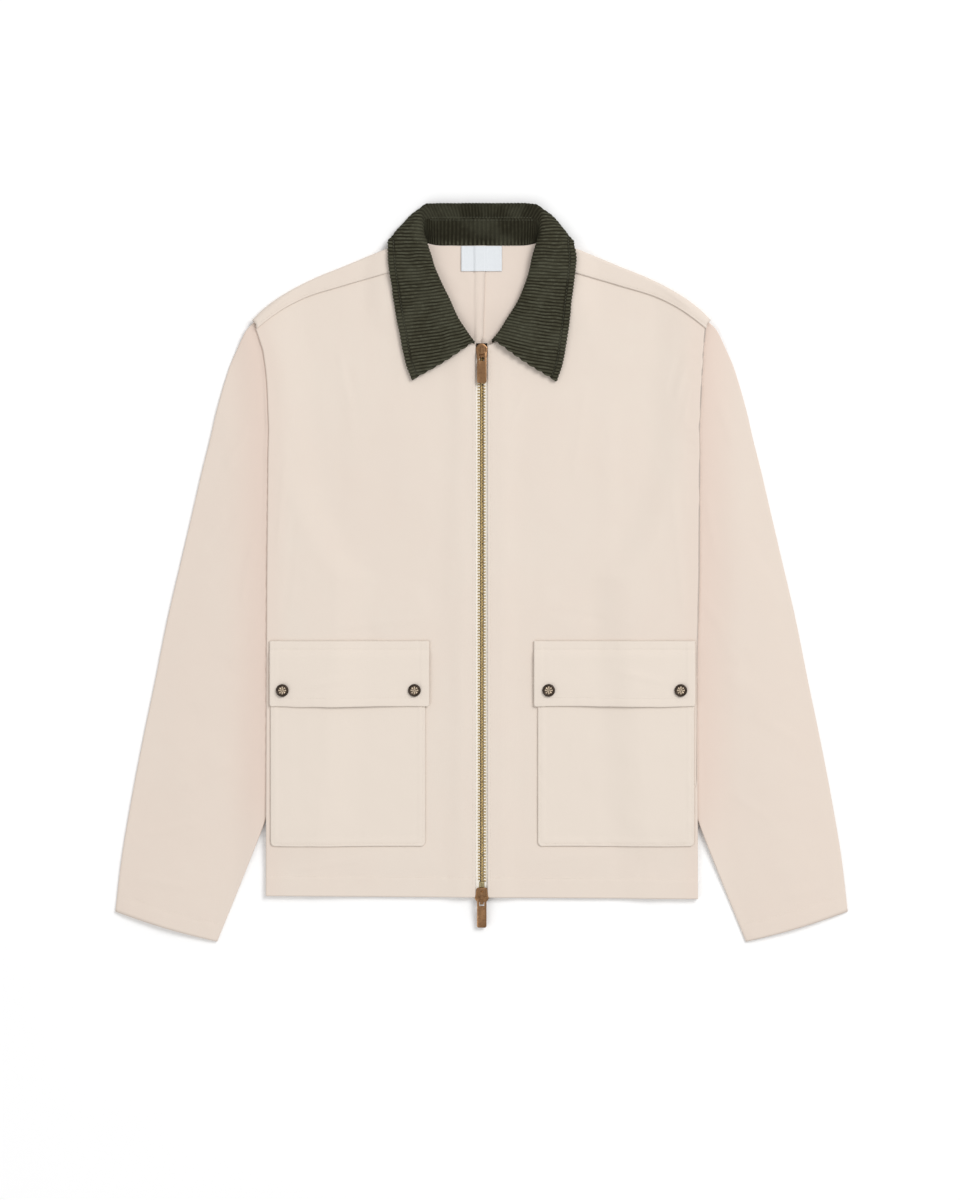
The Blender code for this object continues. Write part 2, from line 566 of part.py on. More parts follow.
def collar_sections(side, front):
    """Dense curves across the collar from neck seam to outer edge, one for every half wale, and
    the share of each curve at which it reaches the crest."""
    table = COLLAR_LEFT if side > 0 else COLLAR_RIGHT
    count = 2 * WALES_EACH_SIDE + 1
    crest_run = np.concatenate([[0.0], np.cumsum(np.linalg.norm(np.diff(table[:, 6:9], axis=0), axis=1))])
    shares = crest_run / crest_run[-1]
    at = np.linspace(0, 1, count)
    slopes = np.gradient(table, shares, axis=0)
    slopes[0, [1, 4, 7, 10]] = 0.0
    k = np.clip(np.searchsorted(shares, at, side="right") - 1, 0, len(shares) - 2)
    span = (shares[k + 1] - shares[k])[:, None]
    t = (at - shares[k])[:, None] / span
    rows = (
        (2 * t**3 - 3 * t**2 + 1) * table[k] + (t**3 - 2 * t**2 + t) * span * slopes[k]
        + (3 * t**2 - 2 * t**3) * table[k + 1] + (t**3 - t**2) * span * slopes[k + 1]
    )
    neck, crest, middle, edge = rows[:, 0:3], rows[:, 3:6], rows[:, 6:9], rows[:, 9:12]
    half_way = (neck + crest) / 2
    half_way[:, 2] += rows[:, 12]
    roll = crest + (middle - crest) * ROLL_SHARE
    roll[:, 2] = crest[:, 2] + rows[:, 13]
    sections = np.array([
        along([neck[i], half_way[i], crest[i], roll[i], middle[i], edge[i]],
              np.linspace(0, 1, SECTION_STEPS))
        for i in range(count)
    ])
    x, y, z = sections[..., 0], sections[..., 1], sections[..., 2]
    neck_x = np.interp(y, FRONT_NECK[::-1, 1], FRONT_NECK[::-1, 0])
    on_front = eased((345.0 - y) / 3.0) * eased((x - neck_x) / 4.0) * (z > 8.0)
    rest = under_collar(front, x, y) + CORDUROY / 2 + SEAM + 0.1
    sections[..., 2] = np.maximum(z + on_front * np.maximum(rest - z, 0.0), COLLAR_LOWEST)
    corners = np.stack([neck, half_way, crest, roll, middle, edge])
    runs = np.linalg.norm(np.diff(corners, axis=0), axis=2)
    return sections, runs[:2].sum(axis=0) / runs.sum(axis=0)


# Where the leaf's rows lie: shares from the stand's seam to the crest, then on to the outer edge
LEAF_TO_CREST = (0.0, 0.5, 1.0)
LEAF_FROM_CREST = (0.09, 0.2, 0.42, 0.7, 1.0)
STAND_ROWS = (0.0, 0.5, 1.0)
LEAST_SQUARE = 0.1


def at_run(line, run, at):
    """Points of a curve at given lengths along it."""
    return np.stack([np.interp(at, run, line[:, axis]) for axis in range(line.shape[1])], axis=-1)


def rows_along(sections, normals, crest_shares, part):
    """The stand's or the leaf's rows of points, with the sections' own normals there. The two meet
    on the stand's side of the crest, with a seam's gap between them, measured square to the seam."""
    at_points = np.linspace(0, 1, sections.shape[1])
    steps = np.linalg.norm(np.diff(sections, axis=1), axis=2)
    runs = np.concatenate([np.zeros((len(sections), 1)), np.cumsum(steps, axis=1)], axis=1)
    crests = np.array([np.interp(share, at_points, run) for share, run in zip(crest_shares, runs)])
    seams = STAND_SHARE * crests
    seam_line = np.stack([at_run(line, run, seam) for line, run, seam in zip(sections, runs, seams)])
    before = np.stack([at_run(line, run, seam - 1.0) for line, run, seam in zip(sections, runs, seams)])
    across, forward = seam_line - before, np.gradient(seam_line, axis=0)
    square = np.linalg.norm(np.cross(across, forward), axis=1)
    square /= np.linalg.norm(across, axis=1) * np.linalg.norm(forward, axis=1)
    gaps = SEAM / np.maximum(square, LEAST_SQUARE)
    points, facings = [], []
    for line, facing, run, crest, seam, gap in zip(sections, normals, runs, crests, seams, gaps):
        if part == "collar_stand":
            at = (seam - gap) * np.array(STAND_ROWS)
        else:
            up = seam + (crest - seam) * np.array(LEAF_TO_CREST)
            at = np.concatenate([up, crest + (run[-1] - crest) * np.array(LEAF_FROM_CREST)])
        points.append(at_run(line, run, at))
        facings.append(at_run(facing, run, at))
    facings = np.stack(facings, axis=1)
    return np.stack(points, axis=1), facings / np.linalg.norm(facings, axis=2, keepdims=True)


def make_collar(fronts):
    right, right_crest = collar_sections(-1, fronts[-1])
    left, left_crest = collar_sections(1, fronts[1])
    mirrored = right[::-1] * np.array([-1.0, 1.0, 1.0])
    sections = np.concatenate([mirrored[:-1], left])
    crests = np.concatenate([right_crest[::-1][:-1], left_crest])
    normals = -grid_normals(sections)
    for name in ("collar_stand", "collar_leaf"):
        grid, facings = rows_along(sections, normals, crests, name)
        ribbed_wall(name, grid, facings, eased((facings[..., 2] + 0.5) / 0.4), green)


# ---------------------------------------------------------------- pockets, flaps and snaps

def pocket_height(front, x, y):
    """A pocket lies on the front and stands off it a little in its middle."""
    span = (POCKET_OUTER - x) / (POCKET_OUTER - POCKET_INNER)
    rise = (y - POCKET_BOTTOM_Y) / (POCKET_TOP_Y - POCKET_BOTTOM_Y)
    belly = np.sin(math.pi * np.clip(span, 0, 1)) * np.sin(math.pi * np.clip(rise * 0.55, 0, 1))
    return height_on(front, x, y) + PLY + 0.9 * belly


def flap_height(front, x, y):
    """A flap covers the pocket and lifts at its lower edge between the snaps."""
    down = eased((FLAP_TOP_Y - y) / (FLAP_TOP_Y - FLAP_BOTTOM_Y))
    middle = np.sin(math.pi * np.clip((x - SNAP_INNER) / (SNAP_OUTER - SNAP_INNER), 0, 1)) ** 2
    below = height_on(front, x, y)
    inside = np.minimum(y, POCKET_TOP_Y)
    over_pocket = pocket_height(front, x, inside) - height_on(front, x, inside)
    onto_pocket = eased((POCKET_TOP_Y + 20.0 - y) / 14.0)
    return below + PLY + 0.2 + onto_pocket * over_pocket + 1.3 * middle * down


def panel_columns(front, inner, outer):
    """x of a panel's columns: those of the front that it lies on, between its own two edges."""
    row = front[len(front) // 4, :, 0]
    between = row[(row > inner + 4.0) & (row < outer - 4.0)]
    return np.concatenate([[inner], between, [outer]])


def rounded_panel(columns, bottom, top, corner, rows):
    """x, y grid of a panel with rounded lower corners, its rows closer together in the corners."""
    drop = corner * (1 - np.cos(np.linspace(0, math.pi / 2, 4)))
    y = np.concatenate([bottom + drop, np.linspace(bottom + corner, top, rows - 3)[1:]])
    inset = corner - np.sqrt(np.maximum(corner**2 - np.maximum(corner - (y - bottom), 0.0) ** 2, 0.0))
    low, high = columns[0] + inset[:, None], columns[-1] - inset[:, None]
    x = np.clip(np.repeat(columns[None], len(y), axis=0), low, high)
    first = (x <= low + 0.01).cumsum(axis=1)
    x = x + 0.4 * np.maximum(first - 1, 0)
    last = (x >= high - 0.01)[:, ::-1].cumsum(axis=1)[:, ::-1]
    x = x - 0.4 * np.maximum(last - 1, 0)
    return np.dstack([x, np.repeat(y[:, None], len(columns), axis=1)])


def make_pocket_and_flap(side, front):
    word = "left" if side > 0 else "right"
    columns = panel_columns(front, POCKET_INNER, POCKET_OUTER)
    plan = rounded_panel(columns, POCKET_BOTTOM_Y, POCKET_TOP_Y, POCKET_CORNER, 10)
    grid = np.dstack([plan, pocket_height(front, plan[..., 0], plan[..., 1])])
    cloth_sheet(f"pocket_{word}", sided(grid, side), pale_cream)
    columns = panel_columns(front, FLAP_INNER, FLAP_OUTER)
    plan = rounded_panel(columns, FLAP_BOTTOM_Y, FLAP_TOP_Y, FLAP_CORNER, 9)
    wave = 0.9 * np.sin((plan[..., 0] - FLAP_INNER) / 24.0)
    plan[..., 1] += wave * eased((FLAP_TOP_Y - 30.0 - plan[..., 1]) / 30.0)
    grid = np.dstack([plan, flap_height(front, plan[..., 0], plan[..., 1])])
    cloth_sheet(f"flap_{word}", sided(grid, side), pale_cream)


SNAP_PROFILE = np.array([
    # radius and height as shares of the cap's: sunk middle, raised rim, side, flat seat
    (0.0, 0.62), (0.60, 0.62), (0.68, 0.92), (0.80, 1.0), (0.92, 0.88), (1.0, 0.55), (0.96, 0.0),
    (0.0, 0.0),
])


def make_snap(side, front, x, word):
    """A turned cap: a domed rim round a sunk flat middle."""
    name = f"snap_{'left' if side > 0 else 'right'}_{word}"
    mesh = bpy.data.meshes.new(name)
    profile = SNAP_PROFILE * (SNAP_RADIUS, SNAP_HEIGHT) * MM
    mesh.from_pydata([(r, 0.0, z) for r, z in profile], [(i, i + 1) for i in range(len(profile) - 1)], [])
    snap = bpy.data.objects.new(name, mesh)
    turn = snap.modifiers.new("turn", "SCREW")
    turn.steps = turn.render_steps = 14
    turn.use_merge_vertices = True
    turn.merge_threshold = 0.00001
    turn.use_normal_calculate = True
    seat = flap_height(front, np.array([x]), np.array([SNAP_Y]))[0] + CLOTH / 2 + 0.4
    snap.location = (side * x * MM, SNAP_Y * MM, seat * MM)
    return place(snap, dark_brown)


# ---------------------------------------------------------------- zip

def box(name, low, high, material=None):
    mesh = bpy.data.meshes.new(name)
    shape = bmesh.new()
    bmesh.ops.create_cube(shape, size=1.0)
    low, high = np.array(low) * MM, np.array(high) * MM
    bmesh.ops.scale(shape, vec=tuple(high - low), verts=shape.verts)
    bmesh.ops.translate(shape, vec=tuple((low + high) / 2), verts=shape.verts)
    shape.to_mesh(mesh)
    shape.free()
    obj = bpy.data.objects.new(name, mesh)
    return place(obj, material) if material else obj


def plate(name, outline, low, high, material, axis="z"):
    """A flat outline with thickness: across Z, or across X where axis is x, as for a side view."""
    mesh = bpy.data.meshes.new(name)
    shape = bmesh.new()
    verts = [shape.verts.new((a * MM, b * MM, 0.0)) for a, b in outline]
    face = shape.faces.new(verts)
    raised = bmesh.ops.extrude_face_region(shape, geom=[face])
    moved = [v for v in raised["geom"] if isinstance(v, bmesh.types.BMVert)]
    bmesh.ops.translate(shape, vec=(0, 0, (high - low) * MM), verts=moved)
    bmesh.ops.translate(shape, vec=(0, 0, low * MM), verts=shape.verts)
    bmesh.ops.recalc_face_normals(shape, faces=shape.faces)
    if axis == "x":
        for vert in shape.verts:
            vert.co = (vert.co.z, vert.co.x, vert.co.y)
    bmesh.ops.recalc_face_normals(shape, faces=shape.faces)
    shape.to_mesh(mesh)
    shape.free()
    obj = bpy.data.objects.new(name, mesh)
    return place(obj, material) if material else obj


def make_tapes():
    """Two strips of tape under the edges of the fronts, one each side of the teeth."""
    low_y, high_y = HEM_Y + 2.0, ZIP_TOP_Y - 1.5
    for side, word in ((-1, "right"), (1, "left")):
        inner = CHAIN_WIDTH / 2 + 0.35 + ZIP_X * side
        x = inner + np.linspace(0, TAPE_WIDTH, 3)
        y = np.linspace(low_y, high_y, 7)
        plan = np.dstack(np.meshgrid(x, y))
        grid = np.dstack([plan, np.full(plan.shape[:2], TAPE_Z)])
        grid[..., 2] = np.minimum(TAPE_Z, front_height(grid[..., 0], grid[..., 1]) - 1.45)
        cloth_sheet(f"zip_tape_{word}", sided(grid, side), tape_cloth, thick=TAPE_THICK)


def make_chain():
    """Plain core of the row of closed teeth."""
    low_z = TAPE_Z - CHAIN_HEIGHT / 2
    half = CHAIN_WIDTH / 2
    low_y = HEM_Y - 1.0
    top = (ZIP_X + half, ZIP_TOP_Y - 1.0, low_z + CHAIN_HEIGHT)
    box("zip_chain", (ZIP_X - half, low_y, low_z), top, brass)


def slider_outline(up):
    """Side view of a slider, as y from its wedge end and z: two plates held apart by the wedge."""
    end = -SLIDER_LENGTH
    outline = [
        (0.0, LOWER_PLATE_Z), (end, LOWER_PLATE_Z), (end, LOWER_PLATE_Z + PLATE_THICK),
        (-WEDGE, LOWER_PLATE_Z + PLATE_THICK), (-WEDGE, UPPER_PLATE_Z), (end, UPPER_PLATE_Z),
        (end + 0.6, UPPER_PLATE_Z + PLATE_THICK), (-0.4, UPPER_PLATE_Z + PLATE_THICK), (0.0, UPPER_PLATE_Z),
    ]
    return [(y * up, z) for y, z in outline]


def pivot_height():
    return UPPER_PLATE_Z + PLATE_THICK + PIVOT_UP


def make_slider(name, wedge_y, pivot_y, up, half_wedge, half_tail):
    """A slider with its wedge end at wedge_y, which is its upper end where up is 1, and the
    bridge over it that the pull hangs from."""
    body = plate(name, slider_outline(up), ZIP_X - half_wedge, ZIP_X + half_wedge, copper, "x")
    for vert in body.data.vertices:
        share = abs(vert.co.y) / (SLIDER_LENGTH * MM)
        width = half_wedge * (1 - share) + half_tail * share
        vert.co.x = (ZIP_X + math.copysign(width, vert.co.x - ZIP_X * MM)) * MM
        vert.co.y += wedge_y * MM
    foot = UPPER_PLATE_Z + PLATE_THICK / 2
    ceiling = pivot_height() + BRIDGE_NEAR
    low, high = pivot_y - BRIDGE_NEAR, pivot_y + BRIDGE_FAR
    arch = [
        (low, foot), (low - BRIDGE_WALL, foot), (low - BRIDGE_WALL, ceiling),
        (low, ceiling + BRIDGE_WALL), (high, ceiling + BRIDGE_WALL), (high + BRIDGE_WALL, ceiling),
        (high + BRIDGE_WALL, foot), (high, foot), (high, ceiling - 0.4), (high - 0.6, ceiling),
        (low + 0.4, ceiling), (low, ceiling - 0.4),
    ]
    half = BRIDGE_WIDTH / 2
    bridge = plate(f"{name}_bridge", arch, ZIP_X - half, ZIP_X + half, None, "x")
    cutters.objects.link(bridge)
    bridge.hide_render = True
    bridge.display_type = "WIRE"
    join = body.modifiers.new("bridge", "BOOLEAN")
    join.operation = "UNION"
    join.object = bridge
    return body


def make_pull(name, pivot, droop):
    """A flat pull with a window: the bar at its top passes under the slider's bridge.

    Its origin is on the bar's middle, which is the line that it swings about."""
    half = PULL_WIDTH / 2
    top = PULL_BAR / 2
    corner = 1.6
    outer = [
        (-half + 0.8, top), (half - 0.8, top), (half, top - 0.8), (half, top - PULL_LENGTH + corner),
        (half - corner * 0.3, top - PULL_LENGTH + corner * 0.3), (half - corner, top - PULL_LENGTH),
        (-half + corner, top - PULL_LENGTH), (-half + corner * 0.3, top - PULL_LENGTH + corner * 0.3),
        (-half, top - PULL_LENGTH + corner), (-half, top - 0.8),
    ]
    pull = plate(name, outer, -PULL_THICK / 2, PULL_THICK / 2, copper)
    window_half = half - PULL_RAIL
    window = box(
        f"{name}_window", (-window_half, -PULL_WINDOW, -2.0), (window_half, -PULL_BAR / 2, 2.0)
    )
    cutters.objects.link(window)
    window.hide_render = True
    window.display_type = "WIRE"
    window.parent = pull
    cut = pull.modifiers.new("window", "BOOLEAN")
    cut.operation = "DIFFERENCE"
    cut.object = window
    pull.location = [value * MM for value in pivot]
    pull.rotation_euler = (droop, 0.0, 0.0)
    return pull


def make_zip():
    make_tapes()
    make_chain()
    top_wedge = ZIP_TOP_Y + 3.0
    bottom_wedge = HEM_Y - 4.6
    top_pivot = top_wedge - 10.4
    bottom_pivot = bottom_wedge + 4.4
    make_slider("slider_top", top_wedge, top_pivot, 1, 6.6, 5.4)
    make_slider("slider_bottom", bottom_wedge, bottom_pivot, -1, 7.4, 5.4)
    make_pull("pull_top", (ZIP_X, top_pivot, pivot_height()), 0.0)
    make_pull("pull_bottom", (ZIP_X, bottom_pivot, pivot_height()), BOTTOM_PULL_DROOP)


# ---------------------------------------------------------------- label

LABEL_HALF = 21.4
LABEL_TOP_Y = 343.0
LABEL_HEIGHT = 26.6
LABEL_THICK = 1.0
LABEL_FOLD_X = 3.7
LABEL_FOLD_RISE = 0.7


def make_label(back):
    """A woven label sewn along its top inside the neck, with the line of a fold down it."""
    x = np.array([-LABEL_HALF, -8.0, 0.0, LABEL_FOLD_X, 2 * LABEL_FOLD_X, LABEL_HALF])
    y = np.linspace(LABEL_TOP_Y - LABEL_HEIGHT, LABEL_TOP_Y, 5)
    plan = np.dstack(np.meshgrid(x, y))
    below = height_on(back, np.maximum(np.abs(plan[..., 0]), SEAM), plan[..., 1])
    height = below + (CLOTH + LABEL_THICK) / 2 + 0.3
    height = height + LABEL_FOLD_RISE * np.exp(-(((plan[..., 0] - LABEL_FOLD_X) / 3.0) ** 2))
    cloth_sheet("neck_label", np.dstack([plan, height]), white_weave, thick=LABEL_THICK)


# ---------------------------------------------------------------- the jacket

for old in list(bpy.data.objects):
    bpy.data.objects.remove(old)
jacket = bpy.data.collections.new("denim_jacket")
cutters = bpy.data.collections.new("cutters")
bpy.context.scene.collection.children.link(jacket)
bpy.context.scene.collection.children.link(cutters)

cream = finish("cream_denim", (0.80, 0.70, 0.61), 0.85)
pale_cream = finish("pale_cream_denim", (0.83, 0.74, 0.65), 0.85)
green = finish("green_corduroy", (0.045, 0.048, 0.030), 0.80)
tape_cloth = finish("zip_tape", (0.76, 0.68, 0.58), 0.80)
brass = finish("brass", (0.55, 0.40, 0.18), 0.35, 1.0)
copper = finish("copper", (0.50, 0.29, 0.17), 0.35, 1.0)
dark_brown = finish("dark_snap", (0.06, 0.03, 0.02), 0.40, 0.6)
white_weave = finish("white_label", (0.78, 0.80, 0.82), 0.70)

fronts = {half: make_front(half) for half in (-1, 1)}
backs = {half: make_back(half, fronts[half]) for half in (-1, 1)}
for half, front_points in fronts.items():
    make_sleeve(half)
    make_pocket_and_flap(half, front_points)
    make_snap(half, front_points, SNAP_OUTER, "outer")
    make_snap(half, front_points, SNAP_INNER, "inner")
make_collar(fronts)
make_zip()
make_label(backs[1])
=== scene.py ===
"""The looks of a cream denim jacket with a dark green corduroy collar, laid flat on its back.

Every piece is worked out as a grid of points in millimetres, on the same cut and the same heights
as the jacket's solids, and takes the place of its solid. X runs to the wearer's left, Y up from the
hem, Z up from the table. side is -1 for the wearer's right half and +1 for the left half.
"""

import math

import bmesh
import bpy
import numpy as np
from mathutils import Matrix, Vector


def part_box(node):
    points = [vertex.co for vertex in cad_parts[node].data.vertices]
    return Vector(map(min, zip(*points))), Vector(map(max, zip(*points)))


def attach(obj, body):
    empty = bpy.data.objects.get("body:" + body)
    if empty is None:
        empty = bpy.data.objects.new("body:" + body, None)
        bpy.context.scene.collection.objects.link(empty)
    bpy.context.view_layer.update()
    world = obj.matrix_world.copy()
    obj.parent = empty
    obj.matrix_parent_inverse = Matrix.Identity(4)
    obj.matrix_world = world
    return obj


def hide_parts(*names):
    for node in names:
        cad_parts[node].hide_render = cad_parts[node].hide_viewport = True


bl_info = {
    "name": "Flat-laid denim jacket",
    "version": (1, 0, 0),
    "blender": (4, 5, 0),
    "location": "3D Viewport > Sidebar > Jacket",
    "description": "Cloth, corduroy, stitching, zip, snaps and stage of a denim jacket",
    "category": "Object",
}

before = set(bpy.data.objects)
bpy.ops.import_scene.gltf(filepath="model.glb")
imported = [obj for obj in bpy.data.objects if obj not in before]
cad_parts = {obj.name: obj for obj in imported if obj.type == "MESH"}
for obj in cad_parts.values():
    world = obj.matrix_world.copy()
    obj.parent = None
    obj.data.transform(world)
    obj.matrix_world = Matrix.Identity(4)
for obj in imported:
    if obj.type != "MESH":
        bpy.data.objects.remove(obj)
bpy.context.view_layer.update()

MM = 0.001
BODY = "jacket"
HALVES = ((-1, "right"), (1, "left"))
MIRROR = np.array([-1.0, 1.0, 1.0])

# ---- the cut, in millimetres

HEM_Y = -341.5
HEM_SLOPE = -0.007
CHEST_HALF = 226.5
NECK_BACK_Y = 343.5
NECK_HALF = 61.5
ZIP_TOP_Y = 238.0
ZIP_X = 0.25
FRONT_EDGE = 6.3
UNDERARM_Y = -5.0
APEX_Y = -254.6
# y at which the front's shoulder edge meets the sleeve, and places down the armhole behind it
SLEEVE_MEETS_Y = 257.0
ARMHOLE_Y = np.array([UNDERARM_Y, 20.0, 60.0, 100.0, 150.0, 200.0, 233.0, 250.0])

# height of one layer in the stack, and the walls of denim and corduroy
PLY = 1.6
CLOTH = 1.2
CORDUROY = 1.8
STRIP_RISE = 1.95
LOWEST = 0.6
FRONT_RISE = 2.8
ZIP_RISE = 2.2
RAMP = 44.0
NECK_RISE = 3.6
STACK_TOP = LOWEST + 5 * PLY
SLEEVE_BACK = LOWEST + 2 * PLY
SLEEVE_LOFT = 2.4
SLEEVE_COLUMNS = 54
FOLD_RADIUS = PLY / 2

# how far inside its edge each row of stitching lies
HEM_DEPTH = 20.7
CUFF_DEPTH = 17.5
EDGE_STITCH = 2.4
ZIP_STITCH = 3.1
FLAP_BAND = 8.4
FLAP_HEM = 8.9
LEAF_STITCH = 6.8
# the centre seam inside the neck: its width, its two rows, and where it starts
FELL_WIDTH = 6.4
FELL_ROWS = (-5.4, 0.6)
FELL_START = 241.5

STAND_SHARE = 0.62
COLLAR_GAP = 0.02
COLLAR_LOWEST = 1.5
WALES_EACH_SIDE = 54
STEPS_PER_WALE = 8
SECTION_STEPS = 60
WALE_PITCH = 3.7
# the leaf starts this far below its seam with the stand, and has this many rows up to the crest
LEAF_LAP = 0.9
LEAF_UP = 10
# y at which the leaf bends round to the front, and the wales' pitch past it, inside and outside
BEND_Y = 340.7
WALE_INNER = 3.5
WALE_OUTER = 3.65

POCKET_TOP_Y = -96.0
POCKET_BOTTOM_Y = -287.5
FLAP_TOP_Y = -72.0
FLAP_BOTTOM_Y = -140.8
POCKET_CORNER = 4.8
FLAP_CORNER = 2.4
POCKET_OUTER = 221.4
POCKET_INNER = 59.2
FLAP_OUTER = 222.4
FLAP_INNER = 55.0
# how much farther out the wearer's-left pocket and flap end
LEFT_WIDER = 1.8
SNAP_Y = -123.8
SNAP_PLACES = {"outer": 209.0, "inner": 70.5}
SNAP_RADIUS = 6.65
SNAP_HEIGHT = 2.6

LABEL_HALF = 21.4
LABEL_TOP_Y = 343.0
LABEL_HEIGHT = 26.6

TOOTH_PITCH = 3.15
TOOTH_SIDES = 6
TAPE_MID = 4.1

# height of the picture's frame on the table and its middle, in metres
FRAME_HEIGHT = 1.260
FRAME_MIDDLE = (-0.0016, -0.0289)
SENSOR = 36.0
TABLE_HALF = 6.0
TABLE_Z = -0.0004
ROOM_LIGHT = 0.54
# each light's name, its place and its side in metres, and its power as a share of the setting
LIGHTS = (("overhead", (2.5, 2.2, 4.2), 2.6, 2.55), ("fill", (-2.8, -2.4, 4.2), 4.0, 1.05))

# base, bright and dull colour of each metal, its roughness, and how metallic it is
METALS = {
    "brass_teeth": ((0.60, 0.46, 0.23), (0.82, 0.70, 0.45), (0.26, 0.17, 0.07), 0.30, 1.0),
    "dull_brass": ((0.30, 0.24, 0.12), (0.50, 0.42, 0.24), (0.12, 0.09, 0.04), 0.34, 1.0),
    "copper_slider": ((0.30, 0.155, 0.075), (0.44, 0.255, 0.13), (0.13, 0.065, 0.036), 0.28, 1.0),
    "dark_snap": ((0.024, 0.013, 0.008), (0.045, 0.027, 0.017), (0.011, 0.006, 0.004), 0.40, 0.65),
}
# colour that a metal has where its wear and shade number is 1: painted shade in a slider's channel, and a
# cap's rubbed petals
WEAR_AND_SHADE_COLOURS = {"copper_slider": (0.030, 0.017, 0.009), "dark_snap": (0.60, 0.48, 0.35)}

# y, x of the sleeve's outer edge, then of the fold on its inner side from the underarm to the cuff
SLEEVE_OUTER = np.array([
    (265.2, 235.6), (254.0, 246.8), (246.2, 250.9), (233.6, 256.7), (217.9, 263.6), (202.1, 268.8),
    (170.6, 277.7), (139.1, 285.0), (107.6, 293.0), (76.1, 300.3), (13.1, 315.0), (-49.9, 329.7),
    (-112.9, 342.3), (-175.9, 355.4), (-238.9, 367.5), (-301.9, 378.0), (-356.5, 384.4),
])
SLEEVE_INNER = np.array([
    (UNDERARM_Y, 155.0), (-70.0, 172.0), (-160.0, 197.5), (APEX_Y, 225.6), (-320.0, 251.0),
    (-387.9, 278.5),
])
# y, x of the visible edge of the front along the sleeve, and how wide the cloth turns in behind it
SIDE_FOLD = np.array([
    (HEM_Y, 226.2, 44.0), (-200.0, 225.6, 56.0), (UNDERARM_Y, 224.9, 69.5), (20.0, 224.6, 48.0),
    (60.0, 224.2, 27.5), (100.0, 223.8, 15.0), (150.0, 223.6, 8.5), (200.0, 226.6, 8.0),
    (233.0, 230.2, 8.0), (250.0, 234.4, 8.0), (258.5, 237.4, 8.0),
])
# y, and how much farther out that edge lies on the wearer's right half and on the left half
SIDE_SHIFT = np.array([
    (-80.0, 0.0, 0.6), (0.0, 0.0, 2.2), (120.0, 0.0, 2.9), (190.0, -1.6, 1.6), (215.0, -1.9, 0.6),
    (235.0, -1.2, -1.0), (250.0, 0.0, -3.6), (258.5, 0.0, -5.4),
])
# x, y of the shoulder's fold, and of the seam in front of it, from the neck to the sleeve
SHOULDER_FOLD = np.array([
    (NECK_HALF, 350.6), (99.0, 339.6), (114.5, 333.6), (145.0, 321.0), (176.0, 308.4), (200.6, 295.8),
    (220.0, 283.2), (234.0, 271.4), (240.6, 264.5),
])
SHOULDER_SEAM = np.array([
    (NECK_HALF, 326.0), (98.0, 314.8), (145.0, 301.4), (190.6, 286.4), (212.0, 274.4),
    (228.0, 262.6), (236.0, 256.0),
])
# x, y of the front's neck edge, from the shoulder seam to the zip
FRONT_NECK = np.array([
    (NECK_HALF, 326.0), (60.0, 311.0), (55.6, 292.0), (46.8, 272.0), (34.4, 256.2), (19.2, 244.6),
    (FRONT_EDGE, ZIP_TOP_Y),
])
# Collar sections from the back of the neck to the zip: x, y, z of the neck seam, of the crest, of the
# middle of the leaf and of its outer edge, the stand's bulge, and the leaf's rise past the crest
COLLAR_MIDDLE = [
    (0.0, 344.5, 4.2, 0.0, 386.6, 8.0, 0.0, 377.5, 2.2, 0.0, 328.0, 1.5, 6.4, -3.2),
    (28.0, 344.5, 4.2, 27.0, 386.6, 8.0, 28.0, 377.5, 2.2, 31.0, 328.0, 1.5, 6.4, -3.2),
]
COLLAR_RIGHT = np.array(COLLAR_MIDDLE + [
    (49.0, 345.3, 4.4, 49.5, 386.4, 8.6, 53.5, 379.0, 2.3, 62.0, 329.0, 1.5, 6.0, -3.2),
    (57.0, 348.0, 5.0, 60.2, 384.4, 9.4, 72.4, 375.6, 2.8, 82.0, 333.0, 1.5, 4.6, -2.6),
    (59.0, 350.0, 6.4, 63.4, 376.0, 11.6, 81.4, 366.0, 4.4, 91.6, 346.6, 1.5, 2.8, -0.6),
    (59.3, 348.6, 8.0, 63.8, 363.0, 13.8, 87.0, 359.0, 8.6, 96.4, 348.2, 4.8, 1.4, 0.8),
    (59.3, 343.0, 8.6, 59.0, 348.6, 14.6, 80.0, 346.5, 14.4, 98.4, 341.2, 11.0, 0.2, 2.2),
    (59.8, 331.0, 8.4, 54.2, 334.0, 13.6, 77.5, 331.8, 14.6, 97.9, 329.0, 12.4, -0.6, 2.6),
    (58.4, 311.2, 7.0, 49.8, 319.6, 12.6, 74.2, 314.4, 13.6, 96.0, 311.4, 11.6, -0.8, 2.6),
    (54.0, 292.8, 7.0, 42.6, 303.2, 12.4, 68.6, 294.0, 12.0, 92.9, 291.4, 9.8, -0.8, 2.6),
    (45.5, 273.2, 6.0, 34.8, 287.2, 11.2, 61.6, 272.4, 10.4, 89.3, 270.4, 8.2, -0.8, 2.6),
    (33.3, 257.8, 4.9, 25.0, 266.2, 9.4, 53.0, 250.0, 9.2, 85.0, 246.6, 7.2, -0.6, 2.4),
    (18.6, 246.4, 5.4, 14.4, 250.2, 9.0, 44.0, 233.6, 8.8, 79.6, 219.0, 6.9, -0.4, 2.0),
    (7.2, 240.4, 5.8, 8.8, 242.2, 8.8, 37.0, 222.8, 8.8, 73.2, 202.2, 6.9, -0.2, 1.6),
])
